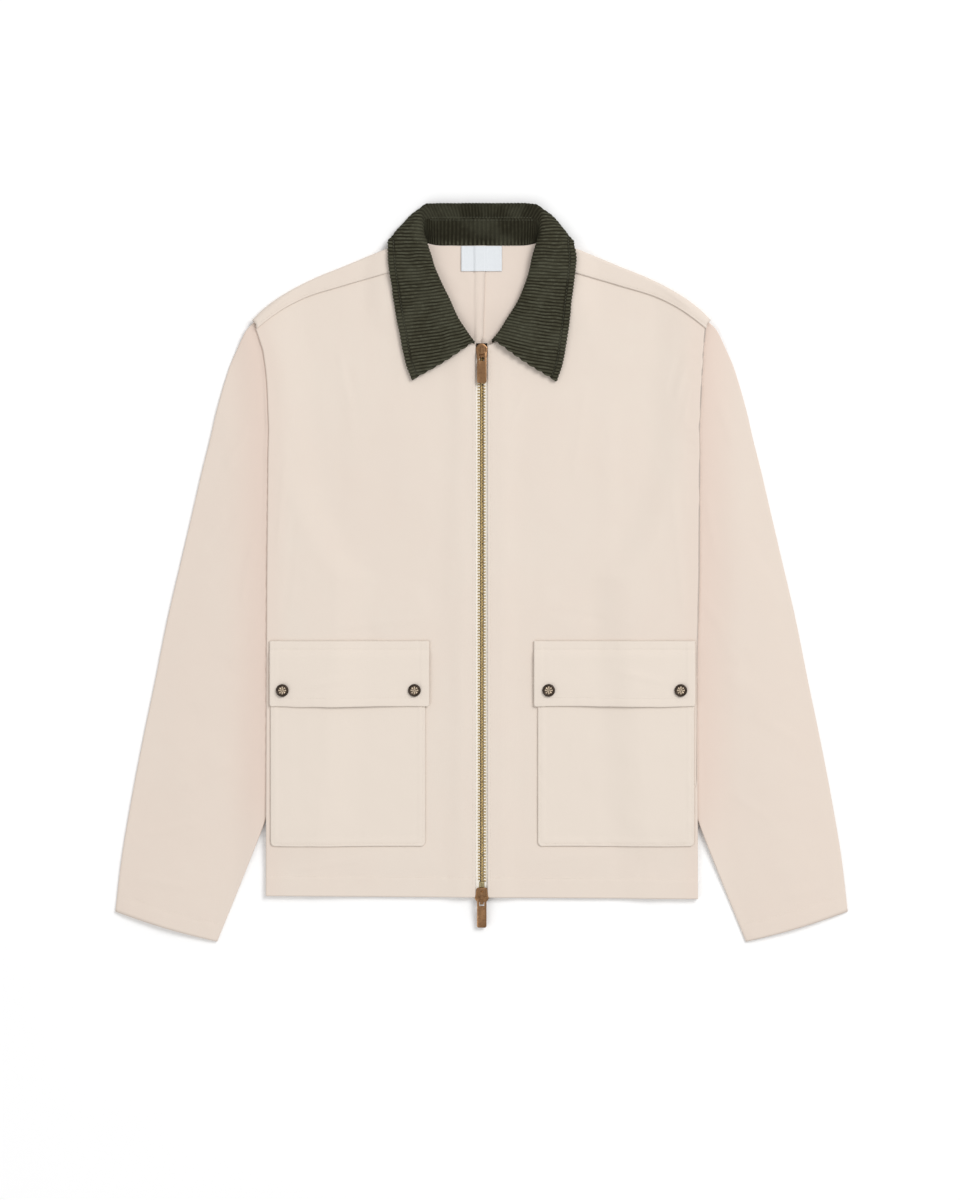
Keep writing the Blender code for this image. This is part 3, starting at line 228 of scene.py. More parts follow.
COLLAR_LEFT = np.array(COLLAR_MIDDLE + [
    (49.0, 345.3, 4.4, 50.0, 386.2, 8.6, 55.0, 378.6, 2.3, 63.0, 329.0, 1.5, 6.0, -3.2),
    (57.0, 348.0, 5.0, 60.2, 383.4, 9.4, 73.6, 374.4, 2.8, 83.0, 333.0, 1.5, 4.6, -2.6),
    (59.0, 350.0, 6.4, 63.6, 374.0, 11.6, 82.4, 364.0, 4.4, 91.8, 346.4, 1.5, 2.8, -0.6),
    (59.3, 348.6, 8.0, 64.0, 361.4, 13.8, 86.8, 357.0, 8.6, 95.2, 347.8, 4.8, 1.4, 0.8),
    (59.3, 343.0, 8.6, 59.0, 347.0, 14.6, 81.0, 345.5, 14.4, 97.4, 340.8, 11.0, 0.2, 2.2),
    (59.8, 331.0, 8.4, 54.4, 332.4, 13.6, 78.6, 331.0, 14.6, 99.2, 328.6, 12.4, -0.6, 2.6),
    (58.4, 311.2, 7.0, 51.0, 316.8, 12.6, 76.0, 313.6, 13.6, 97.6, 311.0, 11.6, -0.8, 2.6),
    (54.0, 292.8, 7.0, 45.0, 298.4, 12.4, 71.4, 293.0, 12.0, 95.4, 291.0, 9.8, -0.8, 2.6),
    (45.5, 273.2, 6.0, 36.8, 280.4, 11.2, 65.0, 271.0, 10.4, 92.8, 270.0, 8.2, -0.8, 2.6),
    (33.3, 257.8, 4.9, 27.2, 265.4, 9.4, 57.6, 249.4, 9.2, 89.6, 246.0, 7.2, -0.6, 2.4),
    (18.8, 246.6, 5.4, 18.2, 251.4, 9.0, 49.6, 233.0, 8.8, 85.0, 217.6, 6.9, -0.4, 2.0),
    (11.0, 241.6, 5.6, 12.4, 244.4, 9.8, 45.0, 221.4, 8.8, 79.0, 200.8, 6.9, -0.2, 1.6),
])
ROLL_SHARE = 0.16

# Folds in the fronts and sleeves: x, y of one end, x, y of the other, width, height
BODY_FOLDS = np.array([
    (90.0, 190.0, 60.0, 60.0, 26.0, 1.1), (150.0, 180.0, 178.0, -30.0, 34.0, 1.3),
    (205.0, 215.0, 190.0, 150.0, 7.0, 0.9), (212.0, 228.0, 203.0, 175.0, 5.0, 0.8),
    (60.0, -30.0, 110.0, -60.0, 22.0, 0.9), (40.0, -300.0, 190.0, -306.0, 16.0, 0.8),
])
SLEEVE_FOLDS = np.array([
    (262.0, 190.0, 290.0, -40.0, 22.0, 1.0), (252.0, 120.0, 272.0, -150.0, 20.0, 0.8),
    (300.0, 0.0, 318.0, -230.0, 24.0, 0.9), (282.0, -180.0, 330.0, -330.0, 26.0, 0.9),
    (240.0, -40.0, 268.0, -90.0, 12.0, 0.6), (262.0, -110.0, 300.0, -140.0, 12.0, 0.6),
])
# Finer creases that only the looks have, in the same columns, for each half
FRONT_CREASES = {
    -1: np.array([
        (152.0, 236.0, 138.0, 176.0, 3.4, 0.55), (140.0, 214.0, 128.0, 150.0, 5.0, -0.45),
        (206.0, 120.0, 214.0, 30.0, 3.2, 0.45), (196.0, 60.0, 208.0, -50.0, 4.2, -0.4),
        (92.0, 262.0, 84.0, 196.0, 4.0, 0.4), (30.0, 96.0, 36.0, -60.0, 7.0, 0.35),
        (66.0, -48.0, 150.0, -58.0, 3.2, 0.35), (120.0, -300.0, 196.0, -312.0, 3.0, 0.35),
    ]),
    1: np.array([
        (214.0, 214.0, 205.0, 184.0, 2.6, 0.6), (208.0, 226.0, 198.0, 190.0, 2.4, -0.5),
        (219.0, 196.0, 212.0, 160.0, 2.4, 0.45), (110.0, 196.0, 96.0, 96.0, 6.0, 0.4),
        (44.0, 190.0, 30.0, 150.0, 4.0, 0.45), (202.0, 80.0, 212.0, -40.0, 4.0, 0.4),
        (70.0, -40.0, 128.0, -50.0, 3.6, -0.35), (60.0, -302.0, 132.0, -296.0, 3.2, 0.35),
    ]),
}
SLEEVE_CREASES = {
    -1: np.array([
        (232.0, -60.0, 262.0, -96.0, 3.6, 0.7), (238.0, -86.0, 276.0, -112.0, 3.2, -0.5),
        (246.0, 150.0, 268.0, 110.0, 5.0, 0.5), (268.0, -200.0, 312.0, -226.0, 4.6, 0.55),
        (300.0, -262.0, 352.0, -276.0, 4.0, 0.4), (262.0, 60.0, 286.0, 20.0, 6.0, -0.45),
        (310.0, -330.0, 360.0, -322.0, 4.0, 0.4), (240.0, 30.0, 252.0, -30.0, 4.0, 0.6),
    ]),
    1: np.array([
        (230.0, -20.0, 256.0, -70.0, 4.0, 0.65), (240.0, -50.0, 280.0, -92.0, 3.4, -0.5),
        (250.0, 180.0, 262.0, 140.0, 5.0, 0.5), (286.0, -150.0, 330.0, -176.0, 5.0, 0.5),
        (264.0, -232.0, 306.0, -262.0, 4.0, 0.5), (282.0, 40.0, 304.0, 0.0, 6.0, -0.4),
        (320.0, -340.0, 364.0, -330.0, 4.0, 0.35), (236.0, 80.0, 246.0, 20.0, 4.0, 0.55),
    ]),
}

# ---- shapes of curves and fields


def eased(value):
    """0 below 0, 1 above 1, and the cubic 3t^2 - 2t^3 between."""
    share = np.clip(value, 0.0, 1.0)
    return share * share * (3.0 - 2.0 * share)


def bell(distance, width):
    """1 at distance 0, falling as exp(-(distance / width)^2)."""
    return np.exp(-((distance / width) ** 2))


def stations(*bands):
    """Places along a line: each band is a start, an end and the widest step inside it."""
    places = [
        np.linspace(low, high, math.ceil(abs(high - low) / step) + 1)[:-1] for low, high, step in bands
    ]
    return np.concatenate(places + [[bands[-1][1]]])


def lengths_along(points):
    """Length of a path from its first point to each of its points."""
    steps = np.linalg.norm(np.diff(points, axis=0), axis=1)
    return np.concatenate([[0.0], np.cumsum(steps)])


def unit(vectors):
    """The vectors at length 1."""
    return vectors / np.linalg.norm(vectors, axis=-1, keepdims=True)


def hermite(t, span, start, end, leaving, arriving):
    """Cubic from start to end with the two given slopes, at share t of a span."""
    return (
        (2 * t**3 - 3 * t**2 + 1) * start + (t**3 - 2 * t**2 + t) * span * leaving
        + (3 * t**2 - 2 * t**3) * end + (t**3 - t**2) * span * arriving
    )


def spans_through(points, knots, slopes, shares):
    """Rows at the given shares of cubic spans that join the points at their knots."""
    at = np.clip(np.searchsorted(knots, shares, side="right") - 1, 0, len(knots) - 2)
    span = (knots[at + 1] - knots[at])[:, None]
    t = (shares - knots[at])[:, None] / span
    return hermite(t, span, points[at], points[at + 1], slopes[at], slopes[at + 1])


def along(points, shares):
    """Points at shares 0 to 1 of a curve through the given points: cubic spans whose end slopes are
    central differences."""
    points = np.asarray(points, float)
    run = lengths_along(points[:, :3])
    knots = run / run[-1]
    return spans_through(points, knots, np.gradient(points, knots, axis=0), np.asarray(shares, float))


def read_off(table, at, column=1):
    """The table's column at values of its first column, on straight runs between rows."""
    order = np.argsort(table[:, 0])
    return np.interp(at, table[order, 0], table[order, column])


def patch(bottom, top, left, right, u, v):
    """Coons patch: straight blends of bottom to top and of left to right, less their shared corners,
    at the columns' shares u and the rows' shares v."""
    u = u[None, :, None]
    v = v[:, None, None]
    return (
        (1 - v) * bottom[None] + v * top[None] + (1 - u) * left[:, None] + u * right[:, None]
        - (1 - u) * (1 - v) * bottom[0] - u * (1 - v) * bottom[-1] - (1 - u) * v * top[0] - u * v * top[-1]
    )


def ridges(x, y, folds):
    """Sum of soft ridges along straight lines: height times a bell across, eased off at both ends."""
    height = np.zeros_like(x)
    for x0, y0, x1, y1, width, high in folds:
        run = math.hypot(x1 - x0, y1 - y0)
        forward = ((x - x0) * (x1 - x0) + (y - y0) * (y1 - y0)) / run**2
        across = ((x - x0) * (y1 - y0) - (y - y0) * (x1 - x0)) / run
        ends = eased(forward / 0.3 + 0.5) * eased((1 - forward) / 0.3 + 0.5)
        height += high * bell(across, width) * ends
    return height


def wander(run, knot, seed):
    """A value from -1 to 1 that wanders smoothly along a run: fixed random heights every knot
    millimetres with eased steps between them."""
    run = run - np.min(run)
    heights = np.random.default_rng(seed).uniform(-1, 1, int(np.max(run) / knot) + 3)
    whole = np.floor(run / knot).astype(int)
    share = eased(run / knot - whole)
    return heights[whole] * (1 - share) + heights[whole + 1] * share


def mottle(x, y, cell, seed):
    """A field from -1 to 1: fixed random heights on a square grid of cells, blended by eased steps."""
    field = np.random.default_rng(seed).uniform(-1, 1, (64, 64))
    column, row = x / cell + 32.0, y / cell + 32.0
    i, j = np.floor(column).astype(int), np.floor(row).astype(int)
    u, v = eased(column - i), eased(row - j)
    i, j = i % 63, j % 63
    low = field[j, i] * (1 - u) + field[j, i + 1] * u
    high = field[j + 1, i] * (1 - u) + field[j + 1, i + 1] * u
    return low * (1 - v) + high * v


def from_line(x, y, line):
    """Distance from each point to a polyline, and how far along the line the nearest place is."""
    ends = np.asarray(line, float)[:, :2]
    steps = np.diff(ends, axis=0)
    lengths = np.linalg.norm(steps, axis=1)
    starts = lengths_along(ends)[:-1]
    best = np.full(np.shape(x), 1e9)
    run = np.zeros(np.shape(x))
    for (x0, y0), (dx, dy), length, start in zip(ends, steps, lengths, starts):
        share = np.clip(((x - x0) * dx + (y - y0) * dy) / length**2, 0, 1)
        distance = np.hypot(x - x0 - share * dx, y - y0 - share * dy)
        nearer = distance < best
        best = np.where(nearer, distance, best)
        run = np.where(nearer, start + share * length, run)
    return best, run


def sewn(x, y, line, seed, depth=0.3, width=1.3, pucker=0.16):
    """Relief along a line of stitching: a bell-shaped groove, and puckers that wander along it."""
    distance, run = from_line(x, y, line)
    puckers = wander(run, 5.5, seed) + 0.6 * wander(run, 13.0, seed + 1)
    return -depth * bell(distance, width) + pucker * puckers * bell(distance, 5.0)


# ---- how high the cloth lies


def side_x(y, side):
    """x of the front's visible edge along the sleeve, on either half."""
    return read_off(SIDE_FOLD, y) + read_off(SIDE_SHIFT, y, 2 if side > 0 else 1)


def turned_in(y):
    """Width of the cloth that turns in behind that edge."""
    return read_off(SIDE_FOLD, y, 2)


def sleeve_gone(y):
    """1 below the sleeve's way out of the side, eased in over 55 mm."""
    return eased((APEX_Y - 8.0 - y) / 55.0)


def hem_y(x, side):
    """y of the hem's edge, which runs a little aslant."""
    return HEM_Y + HEM_SLOPE * x * side


def hem_line(side):
    """The stitching of the hem, one hem's depth above its edge."""
    x = np.linspace(FRONT_EDGE + 2.0, CHEST_HALF - 2.0, 12)
    return np.column_stack([x, hem_y(x, side) + HEM_DEPTH])


def fell_edge(y):
    """x of the centre seam's folded edge, which only shows inside the neck."""
    return (2.1 + 1.9 * eased((y - 250.0) / 80.0)) * eased((y - FELL_START - 2.5) / 6.0)


def near_neck(x, y):
    """1 under the collar, eased to 0 down the body and out to the shoulders."""
    return eased((y - 246.0) / 42.0) * eased((126.0 - np.abs(x)) / 24.0)


def back_mid(x, y, side):
    """Mid-height of the back: on the table, raised by an eased step under the collar. The right
    back's allowance lies over the left one, with two grooves of stitching and their puckers."""
    neck = near_neck(x, y)
    height = LOWEST + NECK_RISE * neck
    across = x * side
    band = eased((across + FELL_WIDTH + 1.0) / 1.4) * eased((y - FELL_START) / 2.5) * (side < 0)
    rows = sum(bell(across - place, 0.9) for place in FELL_ROWS)
    puckers = 0.14 * wander(y, 5.0, 43) * bell(across + 2.4, 4.0)
    inside = 1.2 * band + neck * (puckers - 0.34 * rows)
    hollows = 0.25 * mottle(x, y, 26.0, 41) + 0.12 * mottle(x, y, 9.0, 42)
    return height + inside + neck * hollows * eased((330.0 - y) / 20.0)


def front_form(x, y, side):
    """Mid-height of the plain front: over the zip, over the back, up onto the side's layers by an
    eased ramp, with its broad folds."""
    x = np.abs(x)
    base = LOWEST + NECK_RISE * near_neck(x, y) + FRONT_RISE
    base = base + ridges(x, y, BODY_FOLDS) * eased((150.0 - x) / 20.0)
    base = base + ZIP_RISE * bell(np.maximum(x - 20.0, 0.0), 13.0)
    rise = eased((x - (side_x(y, side) - turned_in(y)) + RAMP + 1.0) / RAMP)
    top = STACK_TOP - 2 * PLY * sleeve_gone(y)
    return base * (1 - rise) + top * rise


def front_mid(x, y, side):
    """The plain front with its finer creases, unevenness that dies out at the edges, and the relief
    of the hem, the front edge and the armhole's stitching."""
    x = np.abs(x)
    inside = eased((side_x(y, side) - x) / 14.0) * eased((x - FRONT_EDGE) / 14.0)
    height = front_form(x, y, side) + inside * ridges(x, y, FRONT_CREASES[side])
    seed = 7 if side > 0 else 8
    height += inside * (0.30 * mottle(x, y, 46.0, seed) + 0.14 * mottle(x, y, 17.0, seed + 10))
    height += 0.10 * inside * mottle(x, y * 0.35, 8.0, seed + 20)
    height += 0.45 * eased((HEM_DEPTH + 1.0 - y + hem_y(x, side)) / 1.6)
    height += sewn(x, y, hem_line(side), seed + 30, 0.24, 1.2, 0.22)
    height -= 0.14 * bell(x - FRONT_EDGE - ZIP_STITCH, 0.9)
    height += 0.12 * wander(y, 9.0, seed + 50) * bell(x - FRONT_EDGE - 2.0, 4.0)
    armhole = np.linspace(250.0, 60.0, 20)
    puckered = np.column_stack([side_x(armhole, side) - 5.0, armhole])
    return height + sewn(x, y, puckered, seed + 40, 0.0, 1.2, 0.2)


def front_turned_height(y, dip):
    """Height of the front's turned-in cloth, which dips to the back's at the side seam."""
    top = LOWEST + 4 * PLY - 2 * PLY * sleeve_gone(y)
    return top - (top - LOWEST - 2 * PLY) * eased((dip - 0.9) / 0.1)


def pocket_mid(x, y, side):
    """Height of a pocket: the front's, one ply up, with a belly that is a half sine across times a
    part of one upwards."""
    span = np.clip((POCKET_OUTER - x) / (POCKET_OUTER - POCKET_INNER), 0, 1)
    rise = np.clip((y - POCKET_BOTTOM_Y) / (POCKET_TOP_Y - POCKET_BOTTOM_Y) * 0.55, 0, 1)
    return front_mid(x, y, side) + PLY + 0.9 * np.sin(math.pi * span) * np.sin(math.pi * rise)


def flap_mid(x, y, side):
    """Height of a flap: over the front, then eased up onto the pocket, lifted between its snaps by
    a squared sine, and drawn down in a small dish round each snap."""
    down = eased((FLAP_TOP_Y - y) / (FLAP_TOP_Y - FLAP_BOTTOM_Y))
    inner, outer = SNAP_PLACES["inner"], SNAP_PLACES["outer"]
    middle = np.sin(math.pi * np.clip((x - inner) / (outer - inner), 0, 1)) ** 2
    lying = np.minimum(y, POCKET_TOP_Y)
    over_pocket = pocket_mid(x, lying, side) - front_mid(x, lying, side)
    onto_pocket = eased((POCKET_TOP_Y + 20.0 - y) / 14.0)
    height = front_mid(x, y, side) + PLY + 0.2 + onto_pocket * over_pocket + 1.3 * middle * down
    for place in (inner, outer):
        height = height - 0.25 * bell(np.hypot(x - place, y - SNAP_Y), 9.0)
    return height


# ---- meshes


def cell_corners(rows, columns, around=False):
    """Corner numbers of a grid's cells, counter-clockwise, as two arrays of row and column."""
    across = np.arange(columns if around else columns - 1)
    i, j = np.meshgrid(np.arange(rows - 1), across, indexing="ij")
    return np.stack([i, i, i + 1, i + 1], -1), np.stack([j, j + 1, j + 1, j], -1)


def laid_lengths(grid):
    """For each point, its distance along its row and its distance along its column."""
    u = np.zeros(grid.shape[:2])
    v = np.zeros(grid.shape[:2])
    u[:, 1:] = np.cumsum(np.linalg.norm(np.diff(grid, axis=1), axis=2), axis=1)
    v[1:] = np.cumsum(np.linalg.norm(np.diff(grid, axis=0), axis=2), axis=0)
    return u, v


def closed_ring(grid, around):
    """The grid with its first column again at the end, where it runs round."""
    return np.concatenate([grid, grid[:, :1]], axis=1) if around else grid


def add_numbers(mesh, name, values):
    """One number for each vertex, kept as an attribute that a material can read."""
    layer = mesh.attributes.new(name, "FLOAT", "POINT")
    layer.data.foreach_set("value", np.ascontiguousarray(values, np.float32).ravel())


def add_threads(mesh, corners):
    """Thread coordinates in metres for each corner of each face, kept as a UV map."""
    layer = mesh.uv_layers.new(name="threads")
    layer.data.foreach_set("uv", np.ascontiguousarray(corners, np.float32).ravel())


def tube_faces(copies, rings, around):
    """Faces of closed tubes whose points follow one another: the cells between their rings, then
    each tube's first and last ring as its ends."""
    i, j = cell_corners(rings, around, around=True)
    base = (np.arange(copies) * rings * around)[:, None]
    ring = np.arange(around)[None]
    cells = base[..., None] + (i * around + j % around).reshape(1, -1, 4)
    ends = [base + ring[:, ::-1], base + (rings - 1) * around + ring]
    return cells.reshape(-1, 4).tolist() + ends[0].tolist() + ends[1].tolist()


def closed_mesh(name, points, faces, sharp=None):
    """A closed mesh from points in millimetres, its normals turned outwards, and smooth except at
    edges of more than the sharp angle."""
    mesh = bpy.data.meshes.new(name)
    mesh.from_pydata((points.reshape(-1, 3) * MM).tolist(), [], faces)
    shape = bmesh.new()
    shape.from_mesh(mesh)
    bmesh.ops.recalc_face_normals(shape, faces=shape.faces)
    shape.to_mesh(mesh)
    shape.free()
    mesh.shade_smooth()
    if sharp:
        mesh.set_sharp_from_angle(angle=math.radians(sharp))
    return mesh


def piece(name, mesh, material, body=BODY, replaces=()):
    """An object in the scene that rides on a body and stands for its solids."""
    obj = bpy.data.objects.new(name, mesh)
    bpy.context.scene.collection.objects.link(obj)
    mesh.materials.clear()
    mesh.materials.append(material)
    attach(obj, body)
    if replaces:
        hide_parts(*replaces)
    return obj


def grid_mesh(name, grid, keep=None, around=False, plan=True, **numbers):
    """The grid's cells as a smooth open surface. Its threads run by the plan's x and y where it lies
    flat, else by the lengths measured along the cloth."""
    rows, columns = grid.shape[:2]
    i, j = cell_corners(rows, columns, around)
    if keep is not None:
        i, j = i[keep], j[keep]
    i, j = i.reshape(-1, 4), j.reshape(-1, 4)
    closed = closed_ring(grid, around)
    threads = closed[..., :2] if plan else np.dstack(laid_lengths(closed))
    used, faces = np.unique(i * columns + j % columns, return_inverse=True)
    mesh = bpy.data.meshes.new(name)
    mesh.from_pydata((grid.reshape(-1, 3)[used] * MM).tolist(), [], faces.reshape(-1, 4).tolist())
    add_threads(mesh, (threads * MM)[i, j])
    for number, values in numbers.items():
        add_numbers(mesh, number, np.broadcast_to(values, grid.shape[:2]).reshape(-1)[used])
    mesh.shade_smooth()
    return mesh


def sheet_of(grid, keep=None, around=False):
    closed = closed_ring(grid, around)
    diagonal = closed[1:, 1:] - closed[:-1, :-1]
    other = closed[1:, :-1] - closed[:-1, 1:]
    areas = np.linalg.norm(np.cross(diagonal, other), axis=2) / 2
    u, v = laid_lengths(closed)
    if keep is not None:
        areas = areas[keep]
    area = float(areas.sum()) * MM * MM
    width, length = float(u.max()) * MM, float(v.max()) * MM
    area = min(area, width * length)


def cloth_piece(name, grid, material, slot, rests_on, keep=None, around=False, thick=None, plan=True,
                replaces=None, **numbers):
    """A sheet of cloth on its grid: walled by Solidify and riding on the jacket. It has the denim's
    thickness where none is given, and replaces the node that it is named after."""
    mesh = grid_mesh(name, grid, keep, around, plan, **numbers)
    obj = piece(name, mesh, material, replaces=replaces or [name.replace("cloth_", "")])
    wall = obj.modifiers.new("thickness", "SOLIDIFY")
    wall.thickness = thick * MM if thick else settings().cloth_thickness
    wall.offset = 0.0
    sheet_of(grid, keep, around)
    return obj


def sided(values, side):
    """A grid of points or numbers on its own half: turned on the right half so that it faces up."""
    if side > 0:
        return values
    turned = values[:, ::-1]
    return turned * MIRROR if values.ndim == 3 else turned


# ---- fronts


def half_round(edge, direction, low, high, angles):
    """Columns of points round a fold's half circle, from one sheet's height to the other's."""
    columns = []
    for angle in angles:
        height = (low + high) / 2 + (high - low) / 2 * math.sin(angle)
        columns.append(np.column_stack([edge + direction * FOLD_RADIUS * math.cos(angle), height]))
    return np.stack(columns, axis=1)


def turn_in(grid, turned_height):
    """Adds the side's fold and the cloth turned in behind it, as more columns."""
    edge = grid[:, -1]
    y = edge[:, 1]
    angles = np.linspace(-math.pi / 2, math.pi / 2, 8)[1:]
    fold = half_round(edge[:, :2], np.array([1.0, 0.0]), edge[:, 2], turned_height(y, 0.0), angles)
    behind = []
    for share in (0.25, 0.5, 0.75, 0.9, 1.0):
        inward = turned_in(y) * share + (edge[:, 0] - read_off(SIDE_FOLD, y)) * share
        z = turned_height(y, share * eased((-y - 30.0) / 60.0))
        behind.append(np.column_stack([edge[:, 0] - (inward - FOLD_RADIUS).clip(0.4), y, z]))
    return np.concatenate([grid, fold, np.stack(behind, axis=1)], axis=1)


def side_edge(y, side):
    """x, y of the line where a body panel's fold begins, half a ply inside its visible edge."""
    return np.column_stack([side_x(y, side) - FOLD_RADIUS, y])


def neck_edge_y(x):
    """y of the front's neck edge at x."""
    curve = along(FRONT_NECK[::-1], np.linspace(0, 1, 120))
    return np.interp(x, curve[:, 0], curve[:, 1])


def front_plan(side):
    """x, y grid of a front: a patch between hem, neck and shoulder, zip edge and side fold. The
    columns stay upright beside the zip, and the rows are closer in the hem."""
    neck_x = stations((FRONT_EDGE, 22.0, 1.2), (22.0, NECK_HALF, 2.4))
    side_hem = float(side_x(HEM_Y, side)) - FOLD_RADIUS
    past_neck = stations((NECK_HALF, 212.0, 2.7), (212.0, side_hem, 1.2))
    hem_x = np.concatenate([neck_x, past_neck[1:]])
    hem = np.column_stack([hem_x, hem_y(hem_x, side)])
    shares = ((past_neck - NECK_HALF) / (side_hem - NECK_HALF))[1:]
    tuck = 6.5 - 4.5 * shares
    seam = along(SHOULDER_SEAM, shares) + np.column_stack([tuck * 0.32, tuck * 0.95])
    seam[-1] = side_edge(np.array([SLEEVE_MEETS_Y]), side)[0]
    top = np.concatenate([np.column_stack([neck_x, neck_edge_y(neck_x)]), seam])
    rise = stations((0.0, 26.0, 1.3), (26.0, ZIP_TOP_Y - HEM_Y, 2.6))
    v = rise / rise[-1]
    left = np.column_stack([np.full(len(v), FRONT_EDGE), hem[0, 1] + v * (top[0, 1] - hem[0, 1])])
    right = side_edge(hem[-1, 1] + v * (SLEEVE_MEETS_Y - hem[-1, 1]), side)
    u = (hem_x - hem_x[0]) / (hem_x[-1] - hem_x[0])
    return patch(hem, top, left, right, u, v)


def front_grid(side):
    """A front: its plan at the front's height, with its side turned in."""
    plan = front_plan(side)
    grid = np.dstack([plan, front_mid(plan[..., 0], plan[..., 1], side)])
    return turn_in(grid, front_turned_height)


# ---- backs


def fold_over(edge, outward, low, high, steps):
    """Rows round a half circle from height low to height high, bulging out to the edge."""
    radius = (high - low) / 2
    rows = []
    for angle in np.linspace(-math.pi / 2, math.pi / 2, steps):
        point = edge - outward * radius[:, None] * (1 - math.cos(angle))
        height = (low + high) / 2 + radius * math.sin(angle)
        rows.append(np.column_stack([point, height]))
    return np.array(rows)


def back_grid(side):
    """A back from hem to neck and shoulder, then round the shoulder's fold and down to the seam in
    front of it. Returns the grid and which of its cells are cloth."""
    middle = 0.08
    neck_x = stations((middle, NECK_HALF - 1.0, 1.5))
    shoulder = np.linspace(0, 1, 62)
    side_hem = float(side_x(HEM_Y, side)) - FOLD_RADIUS
    hem_x = np.concatenate([neck_x, (NECK_HALF - 1.0 + (side_hem - NECK_HALF + 1.0) * shoulder)[1:]])
    hem = np.column_stack([hem_x, hem_y(hem_x, side)])
    neck = along([(middle, NECK_BACK_Y), (30.0, NECK_BACK_Y), (50.0, 344.2), (NECK_HALF - 1.0, 347.0)],
                 (neck_x - middle) / (neck_x[-1] - middle))
    fold = along(SHOULDER_FOLD, shoulder)
    slope = np.gradient(fold, axis=0)
    outward = unit(np.column_stack([-slope[:, 1], slope[:, 0]]))
    low = back_mid(fold[:, 0], fold[:, 1] - 4.0, side)
    high = front_mid(fold[:, 0], fold[:, 1] - 9.0, side) + STRIP_RISE
    bend = fold_over(fold, outward, low, high, 14)
    top = np.concatenate([neck[:-1], bend[0, :, :2]])
    rise = stations((0.0, 575.0, 14.0), (575.0, NECK_BACK_Y - HEM_Y, 1.4))
    v = rise / rise[-1]
    y = hem[0, 1] + v * (top[0, 1] - hem[0, 1])
    lap = -fell_edge(y) if side < 0 else -0.8 * FELL_WIDTH * eased((y - FELL_START - 2.5) / 6.0)
    left = np.column_stack([middle + lap, y])
    right = side_edge(hem[-1, 1] + v * (top[-1, 1] - hem[-1, 1]), side)
    right[-1] = top[-1]
    top[0, 0] = left[-1, 0]
    u = (hem_x - hem_x[0]) / (hem_x[-1] - hem_x[0])
    plan = patch(hem, top, left, right, u, v)
    grid = np.dstack([plan, back_mid(plan[..., 0], plan[..., 1], side)])
    first = len(neck_x) - 1
    grid[-1, first:, 2] = low
    turned = grid[:, -1, 2] + PLY
    grid = turn_in(grid, lambda y, dip: turned)
    seam = along(SHOULDER_SEAM, shoulder)
    strip = list(bend[1:])
    for share in np.linspace(0.08, 1.0, 13):
        flat = bend[-1, :, :2] * (1 - share) + seam * share
        z = front_mid(flat[:, 0], flat[:, 1], side) + STRIP_RISE
        near_seam = (1 - share) * np.linalg.norm(bend[-1, :, :2] - seam, axis=1)
        z = z - 0.28 * bell(near_seam - EDGE_STITCH, 1.1) - 0.4 * bell(near_seam, 0.8)
        z = z + 0.12 * wander(flat[:, 0], 7.0, 90 + side) * bell(near_seam, 6.0)
        mix = eased(share / 0.4)
        strip.append(np.column_stack([flat, z * mix + bend[-1, :, 2] * (1 - mix)]))
    count = len(shoulder)
    rows = np.repeat(np.array(strip)[:, :1], grid.shape[1], axis=1)
    rows[:, first : first + count] = strip
    rows[:, first + count :] = np.array(strip)[:, -1:]
    grid = np.concatenate([grid, rows])
    keep = np.ones((grid.shape[0] - 1, grid.shape[1] - 1), bool)
    keep[len(v) - 1 :, :first] = False
    keep[len(v) - 1 :, first + count - 1 :] = False
    return grid, keep


# ---- sleeves


